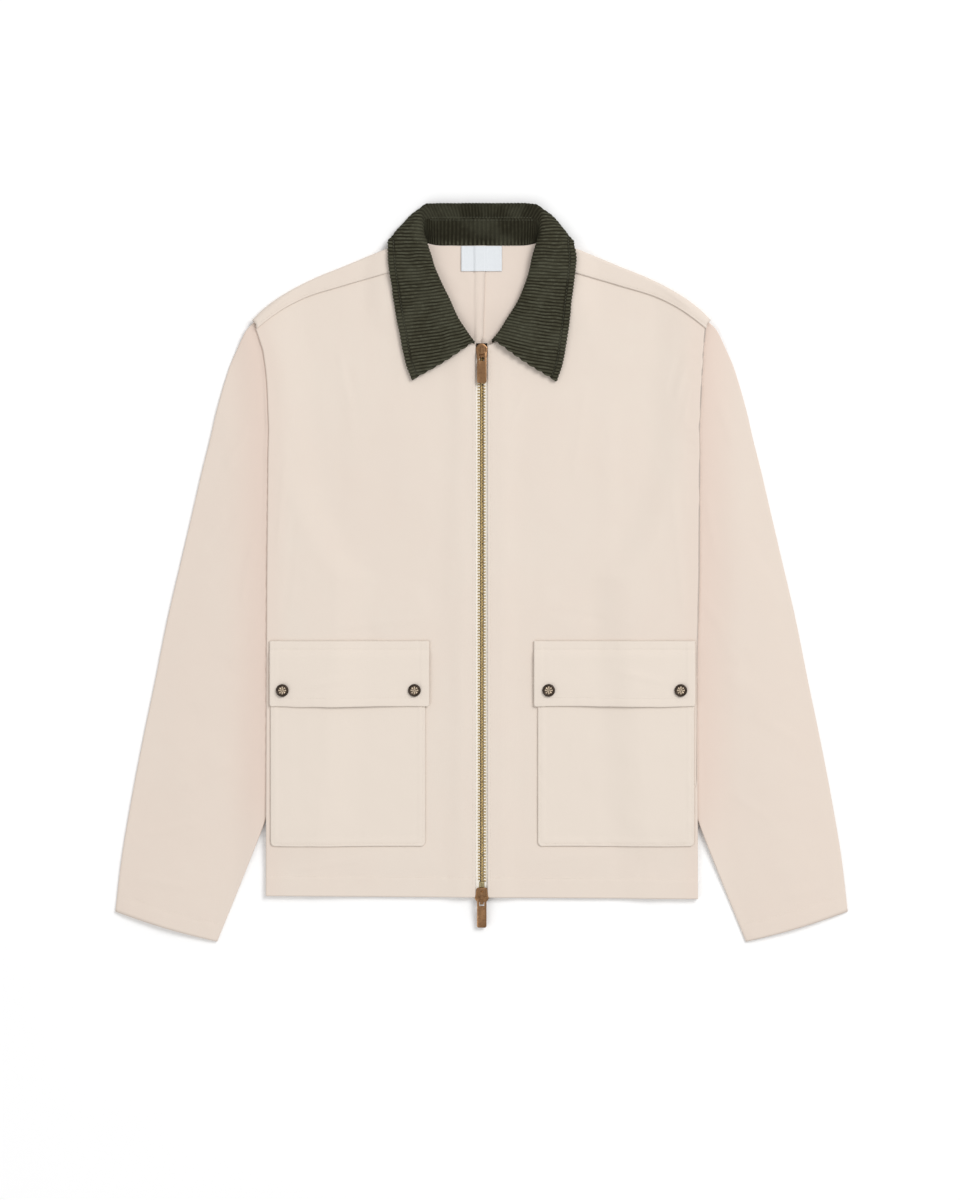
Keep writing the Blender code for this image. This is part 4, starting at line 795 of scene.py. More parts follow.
def sleeve_grid(side):
    """A flat tube from armhole to cuff: front sheet, outer fold, back sheet, inner fold, as the
    columns of one ring. Rows run from the cuff up."""
    down = np.linspace(0, 1, 200) ** 1.15
    even = np.linspace(0, 1, SLEEVE_COLUMNS)
    across = 0.5 - 0.5 * np.cos(math.pi * even)
    across = 0.6 * across + 0.4 * even
    outer = along(SLEEVE_OUTER[:, ::-1], down)
    inner = along(SLEEVE_INNER[:, ::-1], down)
    armhole = np.column_stack([read_off(SIDE_FOLD, ARMHOLE_Y) - turned_in(ARMHOLE_Y), ARMHOLE_Y])
    armhole = along(np.concatenate([armhole, outer[:1]]), across)
    cuff = inner[-1] + (outer[-1] - inner[-1]) * across[:, None]
    cuff[:, 1] -= 2.0 * np.sin(math.pi * across)
    plan = patch(armhole, cuff, inner, outer, across, down)
    x, y = plan[..., 0], plan[..., 1]
    beside = x - side_x(y, side)
    from_fold = eased(across * 12)[None]
    past_body = eased((beside + 2.0) / 8.0) * from_fold * eased((1 - across) * 12)[None]
    clear = eased((beside - 8.0) / 30.0)
    loft = clear * (SLEEVE_LOFT * np.sin(math.pi * across) ** 0.8 + ridges(x, y, SLEEVE_FOLDS))
    seed = 51 if side > 0 else 52
    fine = ridges(x, y, SLEEVE_CREASES[side])
    fine += 0.35 * mottle(x, y * 0.6, 30.0, seed) + 0.14 * mottle(x, y, 12.0, seed + 10)
    to_cuff = np.linalg.norm(plan - cuff[None], axis=2)
    fine += 0.45 * eased((CUFF_DEPTH + 1.0 - to_cuff) / 1.6) - 0.32 * bell(to_cuff - CUFF_DEPTH, 1.3)
    fine += 0.2 * wander(x, 6.0, seed + 20) * bell(to_cuff - CUFF_DEPTH, 6.0)
    back = SLEEVE_BACK * (1 - clear) + LOWEST * clear
    pushed_up = (1.0 + 0.4 * wander(y, 40.0, seed + 60)) * bell(beside - 1.6, 1.9) * eased(beside / 1.2)
    front = back + PLY + loft + past_body * fine + pushed_up * from_fold
    outwards = unit(outer - inner)
    outer_edge, inner_edge = outer - outwards * FOLD_RADIUS, inner + outwards * FOLD_RADIUS
    upper, lower = np.dstack([plan, front]), np.dstack([plan, back])
    for sheet in (upper, lower):
        sheet[:, -1, :2] = outer_edge
        sheet[:, 0, :2] = inner_edge
    angles = np.linspace(-math.pi / 2, math.pi / 2, 7)[1:-1]
    outer_fold = half_round(outer_edge, outwards, back[:, -1], front[:, -1], angles[::-1])
    inner_fold = half_round(inner_edge, -outwards, back[:, 0], front[:, 0], angles)
    parts = [upper, outer_fold, lower[:, ::-3], lower[:, :1], inner_fold]
    return np.concatenate(parts, axis=1)[::-1]


def sleeve_line(side, inset):
    """Points across the sleeve's front, one in each column, at a distance above the cuff."""
    front = sleeve_grid(side)[:, :SLEEVE_COLUMNS]
    up = laid_lengths(front)[1]
    return front[(up < inset).sum(axis=0), np.arange(SLEEVE_COLUMNS)]


# ---- pockets and flaps


def panel_plan(inner, outer, bottom, top, corner, side, lift):
    """x, y grid of a panel whose lower corners are quarter circles: each row's width is drawn in by
    corner - sqrt(corner^2 - drop^2). lift is how far its lower edge waves."""
    border = 12.0
    y = stations((bottom, bottom + 2.0, 0.4), (bottom + 2.0, bottom + corner, 1.0),
                 (bottom + corner, top - border, 2.2), (top - border, top, 1.2))
    x = stations((inner, inner + border, 1.2), (inner + border, outer - border, 2.4),
                 (outer - border, outer, 1.2))
    share = (x - inner) / (outer - inner)
    drop = np.maximum(corner - (y - bottom), 0.0)
    inset = corner - np.sqrt(np.maximum(corner**2 - drop**2, 0.0))
    low, high = inner + inset[:, None], outer - inset[:, None]
    plan = np.dstack([low + (high - low) * share[None], np.repeat(y[:, None], len(x), axis=1)])
    wave = lift * np.sin((plan[..., 0] - inner) / 24.0) + 0.5 * lift * wander(plan[..., 0], 17.0, 60 + side)
    plan[..., 1] += wave * eased((bottom + 38.0 - plan[..., 1]) / 30.0)
    return plan


def edge_distances(plan):
    """Distance of each point to its row's two ends, and along its column to the lower and the upper
    edge."""
    to_inner = plan[..., 0] - plan[:, :1, 0]
    to_outer = plan[:, -1:, 0] - plan[..., 0]
    return to_inner, to_outer, plan[..., 1] - plan[:1, :, 1], plan[-1:, :, 1] - plan[..., 1]


def pocket_grid(side):
    """A pocket with turned-in edges 7 mm wide and a groove of stitching inside them."""
    outer = POCKET_OUTER + LEFT_WIDER * (side > 0)
    plan = panel_plan(POCKET_INNER, outer, POCKET_BOTTOM_Y, POCKET_TOP_Y, POCKET_CORNER, side, 0.25)
    x, y = plan[..., 0], plan[..., 1]
    to_inner, to_outer, up, _ = edge_distances(plan)
    near = np.minimum(np.minimum(to_inner, to_outer), up)
    seed = 70 + side
    z = pocket_mid(x, y, side)
    z += 0.3 * eased((8.0 - near) / 1.5) - 0.28 * bell(near - EDGE_STITCH, 0.9)
    z += 0.16 * mottle(x, y, 20.0, seed) * eased(near / 12.0)
    z += 0.22 * wander(x + y, 6.0, seed + 4) * bell(near - 4.0, 4.0)
    z -= 0.25 * bell(near, 0.9)
    return np.dstack([plan, z])


def flap_grid(side):
    """A flap with a folded top, sewn down 8 mm below its edge, and a hem along its lower edge."""
    outer = FLAP_OUTER + LEFT_WIDER * (side > 0)
    plan = panel_plan(FLAP_INNER, outer, FLAP_BOTTOM_Y, FLAP_TOP_Y, FLAP_CORNER, side, 0.5)
    x, y = plan[..., 0], plan[..., 1]
    to_inner, to_outer, up, down = edge_distances(plan)
    ends = np.minimum(to_inner, to_outer)
    near = np.minimum(ends, up)
    seed = 80 + side
    z = flap_mid(x, y, side)
    z += 0.35 * eased((9.5 - near) / 1.5) - 0.3 * bell(up - FLAP_HEM, 1.1) * eased(ends / 4.0)
    z += 0.4 * eased((FLAP_BAND + 1.0 - down) / 1.6) - 0.4 * bell(down - FLAP_BAND, 1.1)
    z += 0.24 * mottle(x, y, 24.0, seed) * eased(near / 14.0)
    z += 0.26 * wander(x, 7.0, seed + 4) * (bell(up - FLAP_HEM, 6.0) + bell(down - FLAP_BAND, 5.0))
    z -= 0.25 * bell(near, 0.9) + 0.35 * bell(down, 0.9)
    crease = -20.0 if side < 0 else 12.0
    z += 0.6 * bell(y + 104.0 + 0.22 * (x - 130.0 - crease), 4.0) * bell(x - 168.0, 26.0)
    return np.dstack([plan, z])


# ---- collar


def curves_through(points, count):
    """The same curve as along, for many sets of points at once: points is (places, sets, 3)."""
    steps = np.linalg.norm(np.diff(points, axis=0), axis=2)
    knots = np.concatenate([np.zeros((1, points.shape[1])), np.cumsum(steps, axis=0)])
    knots /= steps.sum(axis=0)
    gaps = np.diff(knots, axis=0)[..., None]
    rises = np.diff(points, axis=0) / gaps
    inner = (gaps[1:] * rises[:-1] + gaps[:-1] * rises[1:]) / (gaps[1:] + gaps[:-1])
    slopes = np.concatenate([rises[:1], inner, rises[-1:]])
    shares = np.linspace(0, 1, count)
    at = (knots[None, 1:-1] <= shares[:, None, None]).sum(axis=1)
    sets = np.arange(points.shape[1])[None]
    start, end = knots[at, sets], knots[at + 1, sets]
    span = (end - start)[..., None]
    t = ((shares[:, None] - start) / (end - start))[..., None]
    ends = points[at, sets], points[at + 1, sets], slopes[at, sets], slopes[at + 1, sets]
    return hermite(t, span, *ends)


def collar_sections(side):
    """Curves across one half of the collar, several a wale, and each one's share at the crest. The
    table's rows are joined by cubic spans, and the leaf is held above the front that it lies on."""
    table = COLLAR_LEFT if side > 0 else COLLAR_RIGHT
    run = lengths_along(table[:, 6:9])
    shares = run / run[-1]
    slopes = np.gradient(table, shares, axis=0)
    slopes[0, [1, 4, 7, 10]] = 0.0
    at = np.linspace(0, 1, STEPS_PER_WALE * WALES_EACH_SIDE + 1)
    rows = spans_through(table, shares, slopes, at)
    neck, crest, middle, edge = rows[:, 0:3], rows[:, 3:6], rows[:, 6:9], rows[:, 9:12]
    half_way = (neck + crest) / 2
    half_way[:, 2] += rows[:, 12]
    roll = crest + (middle - crest) * ROLL_SHARE
    roll[:, 2] = crest[:, 2] + rows[:, 13]
    corners = np.stack([neck, half_way, crest, roll, middle, edge])
    sections = curves_through(corners, SECTION_STEPS).transpose(1, 0, 2)
    x, y, z = sections[..., 0], sections[..., 1], sections[..., 2]
    neck_x = np.interp(y, FRONT_NECK[::-1, 1], FRONT_NECK[::-1, 0])
    on_front = eased((345.0 - y) / 3.0) * eased((x - neck_x) / 4.0) * (z > 8.0)
    seam_y = np.interp(x, SHOULDER_SEAM[:, 0], SHOULDER_SEAM[:, 1])
    under = front_form(x, y, side) + 0.6 + STRIP_RISE * eased((y - seam_y + 5.0) / 4.0)
    rest = under + CORDUROY / 2 + 0.8
    sections[..., 2] = np.maximum(z + on_front * np.maximum(rest - z, 0.0), COLLAR_LOWEST)
    runs = np.linalg.norm(np.diff(corners, axis=0), axis=2)
    return sections, runs[:2].sum(axis=0) / runs.sum(axis=0)


def at_lengths(lines, runs, at):
    """Points of many curves at given lengths: each is found between two of its curve's points."""
    found = np.clip((runs[:, None, :] <= at[:, :, None]).sum(axis=2) - 1, 0, runs.shape[1] - 2)
    row = np.arange(len(lines))[:, None]
    start, end = runs[row, found], runs[row, found + 1]
    share = ((at - start) / np.maximum(end - start, 1e-9))[..., None]
    return lines[row, found] * (1 - share) + lines[row, found + 1] * share


def collar_whole():
    """Both halves as one set of sections from the wearer's right front round to the left front,
    with their normals, the length along each and its length at the crest."""
    right, right_crest = collar_sections(-1)
    left, left_crest = collar_sections(1)
    sections = np.concatenate([(right[::-1] * MIRROR)[:-1], left])
    crest_shares = np.concatenate([right_crest[::-1][:-1], left_crest])
    normals = unit(-np.cross(np.gradient(sections, axis=1), np.gradient(sections, axis=0)))
    runs = laid_lengths(sections)[0]
    place = crest_shares * (SECTION_STEPS - 1)
    whole = np.floor(place).astype(int)
    row = np.arange(len(sections))
    crests = runs[row, whole] + (runs[row, whole + 1] - runs[row, whole]) * (place - whole)
    return sections, normals, runs, crests


def collar_rows(part):
    """Rows of the stand or the leaf as (points, normals, distance to the outer edge, length from
    the neck seam). The stand runs from the neck seam to its seam with the leaf, and the leaf from
    there over the crest."""
    sections, normals, runs, crests = collar_whole()
    seams = STAND_SHARE * crests
    whole = runs[:, -1]
    if part == "stand":
        at = (seams - COLLAR_GAP)[:, None] * np.linspace(0, 1, 16)[None]
    else:
        start = seams - LEAF_LAP
        up = start[:, None] + (crests - start)[:, None] * np.linspace(0, 1, LEAF_UP + 1)[None, :-1]
        past = stations((0.0, 0.3, 0.025), (0.3, 0.86, 0.035), (0.86, 1.0, 0.0108))
        at = np.concatenate([up, crests[:, None] + (whole - crests)[:, None] * past[None]], axis=1)
    points = at_lengths(sections, runs, at).transpose(1, 0, 2)
    facings = unit(at_lengths(normals, runs, at).transpose(1, 0, 2))
    return points, facings, (whole[:, None] - at).T, at.T


def bend_lengths(points, run):
    """Length along each row at which it last goes below the bend's y, on its way to the front."""
    row = np.arange(len(points))
    y = points[..., 1]
    last = y.shape[1] - 1 - (y[:, ::-1] > BEND_Y).argmax(axis=1)
    share = (y[row, last] - BEND_Y) / (y[row, last] - y[row, last + 1])
    return run[row, last] + share * (run[row, last + 1] - run[row, last])


def wale_counts(points):
    """For each point of the leaf's rows, the wales between it and the back's middle, negative on
    the wearer's right. Up to the bend every row holds the same number, so they fan out there; past
    it the outer rows hold more, because the cloth is cut straight and its wales end at the front
    edge."""
    middle = STEPS_PER_WALE * WALES_EACH_SIDE
    halves = []
    for half in (points[:, middle::-1], points[:, middle:]):
        run, down = laid_lengths(half)
        bend = bend_lengths(half, run)[:, None]
        left = run[:, -1:] - bend
        at_bend = bend[LEAF_UP] / WALE_PITCH
        inner = left[LEAF_UP] / WALE_INNER
        outer = np.round(at_bend + left[-1] / WALE_OUTER) - at_bend
        past = (down[:, :1] - down[LEAF_UP, 0]) / (down[-1, 0] - down[LEAF_UP, 0])
        gain = inner + np.where(past < 0, past * 0.6, past * (outer - inner))
        halves.append(np.where(run < bend, at_bend * run / bend, at_bend + gain * (run - bend) / left))
    return np.concatenate([-halves[0][:, :0:-1], halves[1]], axis=1)


def leaf_rows():
    """The leaf's rows again with one column along each line of equal wale count, and that count.
    A column starts at the seam or, past its end, where the count meets the front edge."""
    points, facings, to_edge, run = collar_rows("leaf")
    counts = wale_counts(points)
    along_row = laid_lengths(points)[0]
    to_front = np.minimum(along_row, along_row[:, -1:] - along_row)
    fields = np.dstack([points, facings, to_edge, run, to_front])
    first, end = round(counts[-1, 0]), round(counts[-1, -1])
    wales = np.arange(first * STEPS_PER_WALE, end * STEPS_PER_WALE + 1) / STEPS_PER_WALE
    columns, rows = np.arange(points.shape[1]), np.arange(len(points))
    places = [np.interp(wales, row, columns) for row in counts]
    drawn = np.stack([
        np.stack([np.interp(place, columns, field) for field in row.T], axis=-1)
        for place, row in zip(places, fields)
    ])
    last = rows[-1]
    right = wales < 0
    ends = np.where(right, np.interp(-wales, -counts[:, 0], rows), np.interp(wales, counts[:, -1], rows))
    start = np.minimum(ends, last - 0.5)
    at = start[None] + (last - start)[None] * (rows / last)[:, None]
    low = np.minimum(at.astype(int), last - 1)
    share = (at - low)[..., None]
    column = np.arange(len(wales))[None]
    found = drawn[low, column] * (1 - share) + drawn[low + 1, column] * share
    front = np.stack([
        np.where(right, np.interp(start, rows, field[:, 0]), np.interp(start, rows, field[:, -1]))
        for field in np.moveaxis(fields, 2, 0)
    ], axis=-1)
    found[0] = np.where((ends > 0)[:, None], front, found[0])
    to_edge, run, to_front = np.moveaxis(found[..., 6:], 2, 0)
    return found[..., :3], unit(found[..., 3:6]), to_edge, run, to_front, wales


def cord_profile(wales):
    """Height of a wale across its width, 0 in the groove and 1 on top: a power of a sine a little
    below one, so that the cords are round and the grooves narrow."""
    return np.abs(np.sin(math.pi * wales)) ** 0.8


def ribbed_mesh(name, grid, facings, ribs, thick, plain_step):
    """A wall whose outer points carry the ribs, over an inside with one column for every
    plain_step. Long rims join one inner edge to the outer ones beside it."""
    rows, columns = grid.shape[:2]
    outer = grid + facings * (thick / 2 + ribs)[..., None]
    inner = (grid - facings * thick / 2)[:, ::plain_step]
    few = inner.shape[1]
    base = rows * columns
    i, j = cell_corners(rows, columns)
    faces = (i * columns + j).reshape(-1, 4).tolist()
    i, j = cell_corners(rows, few)
    faces += (base + i * few + j).reshape(-1, 4)[:, ::-1].tolist()
    for row, turn in ((0, 1), (rows - 1, -1)):
        for k in range(few - 1):
            edge = np.arange(k * plain_step, (k + 1) * plain_step + 1) + row * columns
            rim = [base + row * few + k, base + row * few + k + 1] + edge[::-1].tolist()
            faces.append(rim[::turn])
    for outer_column, inner_column, turn in ((0, 0, -1), (columns - 1, few - 1, 1)):
        k = np.arange(rows - 1)
        rims = np.stack([
            base + k * few + inner_column, base + (k + 1) * few + inner_column,
            (k + 1) * columns + outer_column, k * columns + outer_column,
        ], -1)
        faces += rims[:, ::turn].tolist()
    mesh = bpy.data.meshes.new(name)
    points = np.concatenate([outer.reshape(-1, 3), inner.reshape(-1, 3)])
    mesh.from_pydata((points * MM).tolist(), [], faces)
    mesh.shade_smooth()
    return mesh


def front_scallops(grid, facings, to_front, profile):
    """Shift that pushes the leaf's front edge out at each cord and in at each groove that it cuts."""
    out = unit(np.cross(np.gradient(grid[0], axis=0), facings[0]))
    out *= -np.sign(np.sum(out * (grid[2] - grid[0]), axis=1))[:, None]
    cut = to_front[0] < 0.5
    return (1.5 * cut * (profile - 0.5) * bell(to_front, 2.6))[..., None] * out[None]


def collar_piece(part, material):
    """The stand or the leaf in wide-wale corduroy. Wales are pressed down along the stitching and near the
    seams, an edge turned in under the cloth raises the leaf's border, and inside the neck the wale number is
    lowered as painted shade."""
    laid, facings, to_edge, run = collar_rows(part)
    grid, wales = laid, np.arange(laid.shape[1]) / STEPS_PER_WALE
    if part == "leaf":
        grid, facings, to_edge, run, to_front, wales = leaf_rows()
    rows, columns = grid.shape[:2]
    profile = np.broadcast_to(cord_profile(wales)[None], (rows, columns))
    height = settings().wale_height / MM * profile
    across_run = wales * WALE_PITCH
    x, y = grid[..., 0], grid[..., 1]
    lift = 0.35 * mottle(x, y, 15.0, 21) * eased(to_edge / 9.0)
    outward = unit(np.gradient(grid, axis=0))
    pressed = np.zeros((rows, columns))
    if part == "leaf":
        height = height * (1 - 0.6 * bell(to_edge - LEAF_STITCH, 1.1)) * (1 + 0.5 * bell(to_edge, 4.0))
        pressed = 0.8 * bell(to_edge - LEAF_STITCH, 1.0)
        lift += 0.4 * eased((LEAF_STITCH + 1.5 - to_edge) / 1.5)
        lift -= 0.35 * bell(to_edge - LEAF_STITCH, 1.3) + 0.5 * bell(to_edge, 0.9)
        lift += 0.2 * (1 - eased((run - run[:1]) / 2.5)) * (to_front[:1] > 0.5)
        scallop = (profile - 0.5) * bell(to_edge, 2.2)
        scallop = scallop + 0.5 * wander(across_run, 13.0, 22) * bell(to_edge, 7.0)
        shift = front_scallops(grid, facings, to_front, profile) + outward * (0.95 * scallop)[..., None]
        warp = 0.55 * mottle(x, y, 11.0, 24) * eased(to_front / 8.0)
        grid = grid + shift + unit(np.gradient(grid, axis=1)) * warp[..., None]
    else:
        grid = grid - outward * (0.7 * (profile - 0.4) * bell(run, 1.6))[..., None]
    showing = eased((facings[..., 2] + 0.9) / 0.4)
    ribs = height * showing + lift * eased((facings[..., 2] + 0.2) / 0.4)
    name = f"corduroy_{part}"
    mesh = ribbed_mesh(name, grid, facings, ribs, CORDUROY, STEPS_PER_WALE)
    mesh.set_sharp_from_angle(angle=math.radians(65))
    threads = np.dstack([np.broadcast_to(across_run[None], (rows, columns)), run])
    inner_threads = threads[:, ::STEPS_PER_WALE].reshape(-1, 2)
    threads = np.concatenate([threads.reshape(-1, 2), inner_threads]) * MM
    corners = np.empty(len(mesh.loops), np.int32)
    mesh.loops.foreach_get("vertex_index", corners)
    add_threads(mesh, threads[corners])
    # painted shade inside the neck: within 68 mm of the middle and above y 342 the wale number is cut by up
    # to 0.42, so the pile leans to the groove's painted shade colour
    near_middle = eased((68.0 - np.abs(grid[..., 0])) / 10.0)
    painted_neck_shade = 1 - 0.42 * eased((grid[..., 1] - 342.0) / 12.0) * near_middle
    wale = profile * (1 - pressed) * painted_neck_shade
    add_numbers(mesh, "wale", np.concatenate([wale.ravel(), np.full(len(inner_threads), 0.6)]))
    obj = piece(name, mesh, material, replaces=[f"collar_{part}"])
    sheet_of(laid)


# ---- stitches


def stitches(name, paths, material, length=2.6, gap=0.7, radius=0.2):
    """One joined mesh of stitches. Each is a tube of five rings of five points round a low arch:
    its height above the cloth is a sine along it, and its ends are drawn in and sunk."""
    turns = np.linspace(0, 2 * math.pi, 5, endpoint=False)
    shares = np.linspace(0, 1, 5)
    swell = np.array([0.55, 1.0, 1.05, 1.0, 0.55])
    arch = radius * (-0.6 + 1.2 * np.sin(math.pi * shares) ** 0.5)
    pitch = length + gap
    rings = []
    for path in paths:
        path = np.asarray(path, float)
        run = lengths_along(path)
        count = int((run[-1] - gap) / pitch)
        if count < 1:
            continue
        start = (run[-1] - count * pitch + gap) / 2 + pitch * np.arange(count)
        at = start[:, None] + length * shares[None]
        centre = np.stack([np.interp(at, run, path[:, axis]) for axis in range(3)], axis=-1)
        ahead = unit(centre[:, -1] - centre[:, 0])
        beside = unit(np.column_stack([-ahead[:, 1], ahead[:, 0], np.zeros(count)]))
        up = np.cross(ahead, beside)
        up *= np.sign(up[:, 2:3])
        centre = centre + up[:, None] * arch[None, :, None]
        spread = radius * swell[None, :, None, None]
        rings.append(centre[:, :, None] + spread * (
            np.cos(turns)[None, None, :, None] * beside[:, None, None]
            + np.sin(turns)[None, None, :, None] * up[:, None, None]
        ))
    points = np.concatenate(rings)
    mesh = closed_mesh(name, points, tube_faces(len(points), len(shares), len(turns)))
    return piece(name, mesh, material)


def on_top(x, y, height):
    """A path at x, y on the top face of a sheet whose mid-height is given."""
    return np.column_stack([x, y, height + CLOTH / 2])


def mirrored_path(path, side):
    """The path on its own half."""
    return path * np.array([side, 1.0, 1.0])


def front_paths(side):
    """Stitching of a front: its hem and its zip edge."""
    hem = hem_line(side)
    x = np.linspace(FRONT_EDGE + 3.0, CHEST_HALF - 3.0, 160)
    y = np.interp(x, hem[:, 0], hem[:, 1])
    paths = [on_top(x, y, front_mid(x, y, side))]
    y = np.linspace(HEM_Y + 3.0, ZIP_TOP_Y - 4.0, 260)
    x = np.full_like(y, FRONT_EDGE + ZIP_STITCH)
    paths.append(on_top(x, y, front_mid(x, y, side)))
    return [mirrored_path(path, side) for path in paths]


def shoulder_path(side):
    """Stitching along the shoulder seam, on the strip of the back above it."""
    shares = np.linspace(0.02, 0.97, 140)
    seam = along(SHOULDER_SEAM, shares)
    slope = np.gradient(seam, axis=0)
    seam = seam + EDGE_STITCH * unit(np.column_stack([-slope[:, 1], slope[:, 0]]))
    x, y = seam[:, 0], seam[:, 1]
    return mirrored_path(on_top(x, y, front_mid(x, y, side) + STRIP_RISE - 0.25), side)


def grid_path(grid, distance, places):
    """Points on a grid's surface where a distance field passes given places, one along each column
    or row. distance rises along the last axis."""
    row = np.arange(len(grid))
    at = (distance < places).sum(axis=1).clip(1, distance.shape[1] - 1)
    low, high = distance[row, at - 1], distance[row, at]
    share = ((places - low) / (high - low))[:, None]
    return grid[row, at - 1] * (1 - share) + grid[row, at] * share


def lifted(path):
    """The same path raised by half the cloth."""
    return path + np.array([0.0, 0.0, CLOTH / 2])


def pocket_paths(side):
    """Stitching down both sides of a pocket and round its lower edge."""
    grid = pocket_grid(side)
    to_inner, to_outer, up, _ = edge_distances(grid[..., :2])
    inner = grid_path(grid, to_inner, EDGE_STITCH)
    outer = grid_path(grid[:, ::-1], to_outer[:, ::-1], EDGE_STITCH)
    tall = grid[:, 0, 1] > POCKET_BOTTOM_Y + POCKET_CORNER
    low = grid_path(grid.transpose(1, 0, 2), up.T, EDGE_STITCH)
    low = low[(low[:, 0] > POCKET_INNER + POCKET_CORNER) & (low[:, 0] < POCKET_OUTER - POCKET_CORNER)]
    return [mirrored_path(lifted(path), side) for path in (inner[tall], outer[tall], low)]


def flap_paths(side):
    """Stitching below a flap's top edge and above its lower edge."""
    grid = flap_grid(side)
    up, down = edge_distances(grid[..., :2])[2:]
    high = grid_path(grid[::-1].transpose(1, 0, 2), down[::-1].T, FLAP_BAND)
    low = grid_path(grid.transpose(1, 0, 2), up.T, FLAP_HEM)[4:-4]
    return [mirrored_path(lifted(path), side) for path in (high, low)]


def collar_paths():
    """Stitching inside the leaf's outer edge, and a row on each side of its seam with the stand."""
    grid, facings, to_edge, *_ = leaf_rows()
    top = grid + facings * (CORDUROY / 2 + 0.2)
    long_enough = to_edge.max(axis=0) > LEAF_STITCH + 0.4
    top, facings_kept, to_edge = top[:, long_enough], facings[:, long_enough], to_edge[:, long_enough]
    from_edge = to_edge[::-1].T
    border = grid_path(top[::-1].transpose(1, 0, 2), from_edge, LEAF_STITCH)
    faces_up = grid_path(facings_kept[::-1].transpose(1, 0, 2), from_edge, LEAF_STITCH)[:, 2] > 0.3
    border = border[faces_up]
    split = int(np.argmax(np.linalg.norm(np.diff(border, axis=0), axis=1))) + 1
    paths = [border[:split], border[split:]]
    stand, stand_facings = collar_rows("stand")[:2]
    for points, out, row in ((grid, facings, 1), (stand, stand_facings, -2)):
        seam = (points + out * (CORDUROY / 2 + 0.6))[row]
        paths.append(seam[(np.abs(seam[:, 0]) < 55.0) & (seam[:, 1] > 356.0)])
    return paths


def back_paths():
    """The two rows of stitching of the centre seam, where it shows inside the neck."""
    y = np.linspace(242.0, 341.0, 90)
    paths = []
    for row in FELL_ROWS:
        x = np.full_like(y, row)
        paths.append(on_top(x, y, back_mid(-x, y, -1)))
    return paths


# ---- zip

# lowest and highest point of a slider's plates, wedge and cheeks, the top of its bridge, and how
# far it reaches back from its wedge end
LOWER_PLATE = (1.7, 2.7)
WEDGE = (2.6, 6.7)
UPPER_PLATE = (6.5, 7.7)
CHEEKS = (7.2, 8.3)
BRIDGE_TOP = 11.9
SLIDER_LENGTH = 15.4
# Each slider: its name, y of its wedge end and of its pivot, 1 where that end is up, and pairs of
# distance back from that end and half width
SLIDERS = (
    ("top", 241.0, 230.6, 1,
     ((-0.2, 1.0), (-1.2, 2.9), (-3.0, 5.0), (-5.0, 6.1), (-7.0, 6.1), (-15.4, 5.2))),
    ("bottom", -346.1, -341.7, -1,
     ((0.0, 4.9), (-2.2, 6.6), (-4.0, 7.5), (-5.6, 6.9), (-8.0, 6.3), (-11.5, 5.9), (-14.4, 5.4),
      (-15.2, 4.4))),
)
TOOTH_TABLE = np.array([
    # x from the chain's middle on the tape's side, half width along the zip, half height
    (4.15, 0.62, 0.85), (3.85, 0.95, 1.20), (2.9, 0.95, 1.25), (1.7, 0.62, 1.2), (0.9, 0.95, 1.15),
    (-0.2, 1.05, 1.1), (-0.85, 0.55, 0.7),
])


def tooth_points():
    """One tooth: six-sided sections on the table's places, closed at both ends."""
    turn = np.linspace(0, 2 * math.pi, TOOTH_SIDES, endpoint=False) + math.pi / TOOTH_SIDES
    x, wide, tall = TOOTH_TABLE.T
    return np.stack([
        np.repeat(x[:, None], TOOTH_SIDES, axis=1),
        wide[:, None] * np.cos(turn)[None] * 1.1,
        tall[:, None] * np.sin(turn)[None] * 1.05,
    ], -1).reshape(-1, 3)


def teeth_mesh(name):
    """All teeth as one mesh: the tooth is set every pitch down the left tape, and turned half round
    and half a pitch along down the right one."""
    tooth = tooth_points()
    y = np.arange(HEM_Y + 17.5, ZIP_TOP_Y - 9.5, TOOTH_PITCH)
    drift = -0.9 + 1.5 * (ZIP_TOP_Y - y) / (ZIP_TOP_Y - HEM_Y)
    places = np.column_stack([ZIP_X + 0.35 * drift, y, np.full(len(y), TAPE_MID)])
    half = places + (0.0, TOOTH_PITCH / 2, 0.0)
    right = tooth[None] * np.array([-1.0, -1.0, 1.0]) + half[:, None]
    points = np.concatenate([tooth[None] + places[:, None], right])
    return closed_mesh(name, points, tube_faces(len(points), len(TOOTH_TABLE), TOOTH_SIDES), 50.0)


def tape_grid(side):
    """A tape from the hem to the top of the zip, eased up to lie under the front, with a round cord
    along the edge that holds the teeth: a circle's arc over its first 2 mm."""
    inner = 2.2 - ZIP_X * 0.5
    x = ZIP_X * side + inner + stations((0.0, 4.4, 0.3), (4.4, 17.0, 2.0))
    y = stations((HEM_Y + 1.0, ZIP_TOP_Y - 1.5, 4.0))
    plan = np.dstack(np.meshgrid(x, y))
    from_edge = plan[..., 0] - x[0]
    under_front = front_form(plan[..., 0], plan[..., 1], side) - 1.3
    low = np.minimum(TAPE_MID - 0.5 + 0.9 * eased((from_edge - 1.8) / 2.2), under_front)
    cord = 0.6 * np.sqrt(np.maximum(1 - ((from_edge - 0.9) / 0.9) ** 2, 0.0))
    return np.dstack([plan, low + cord])


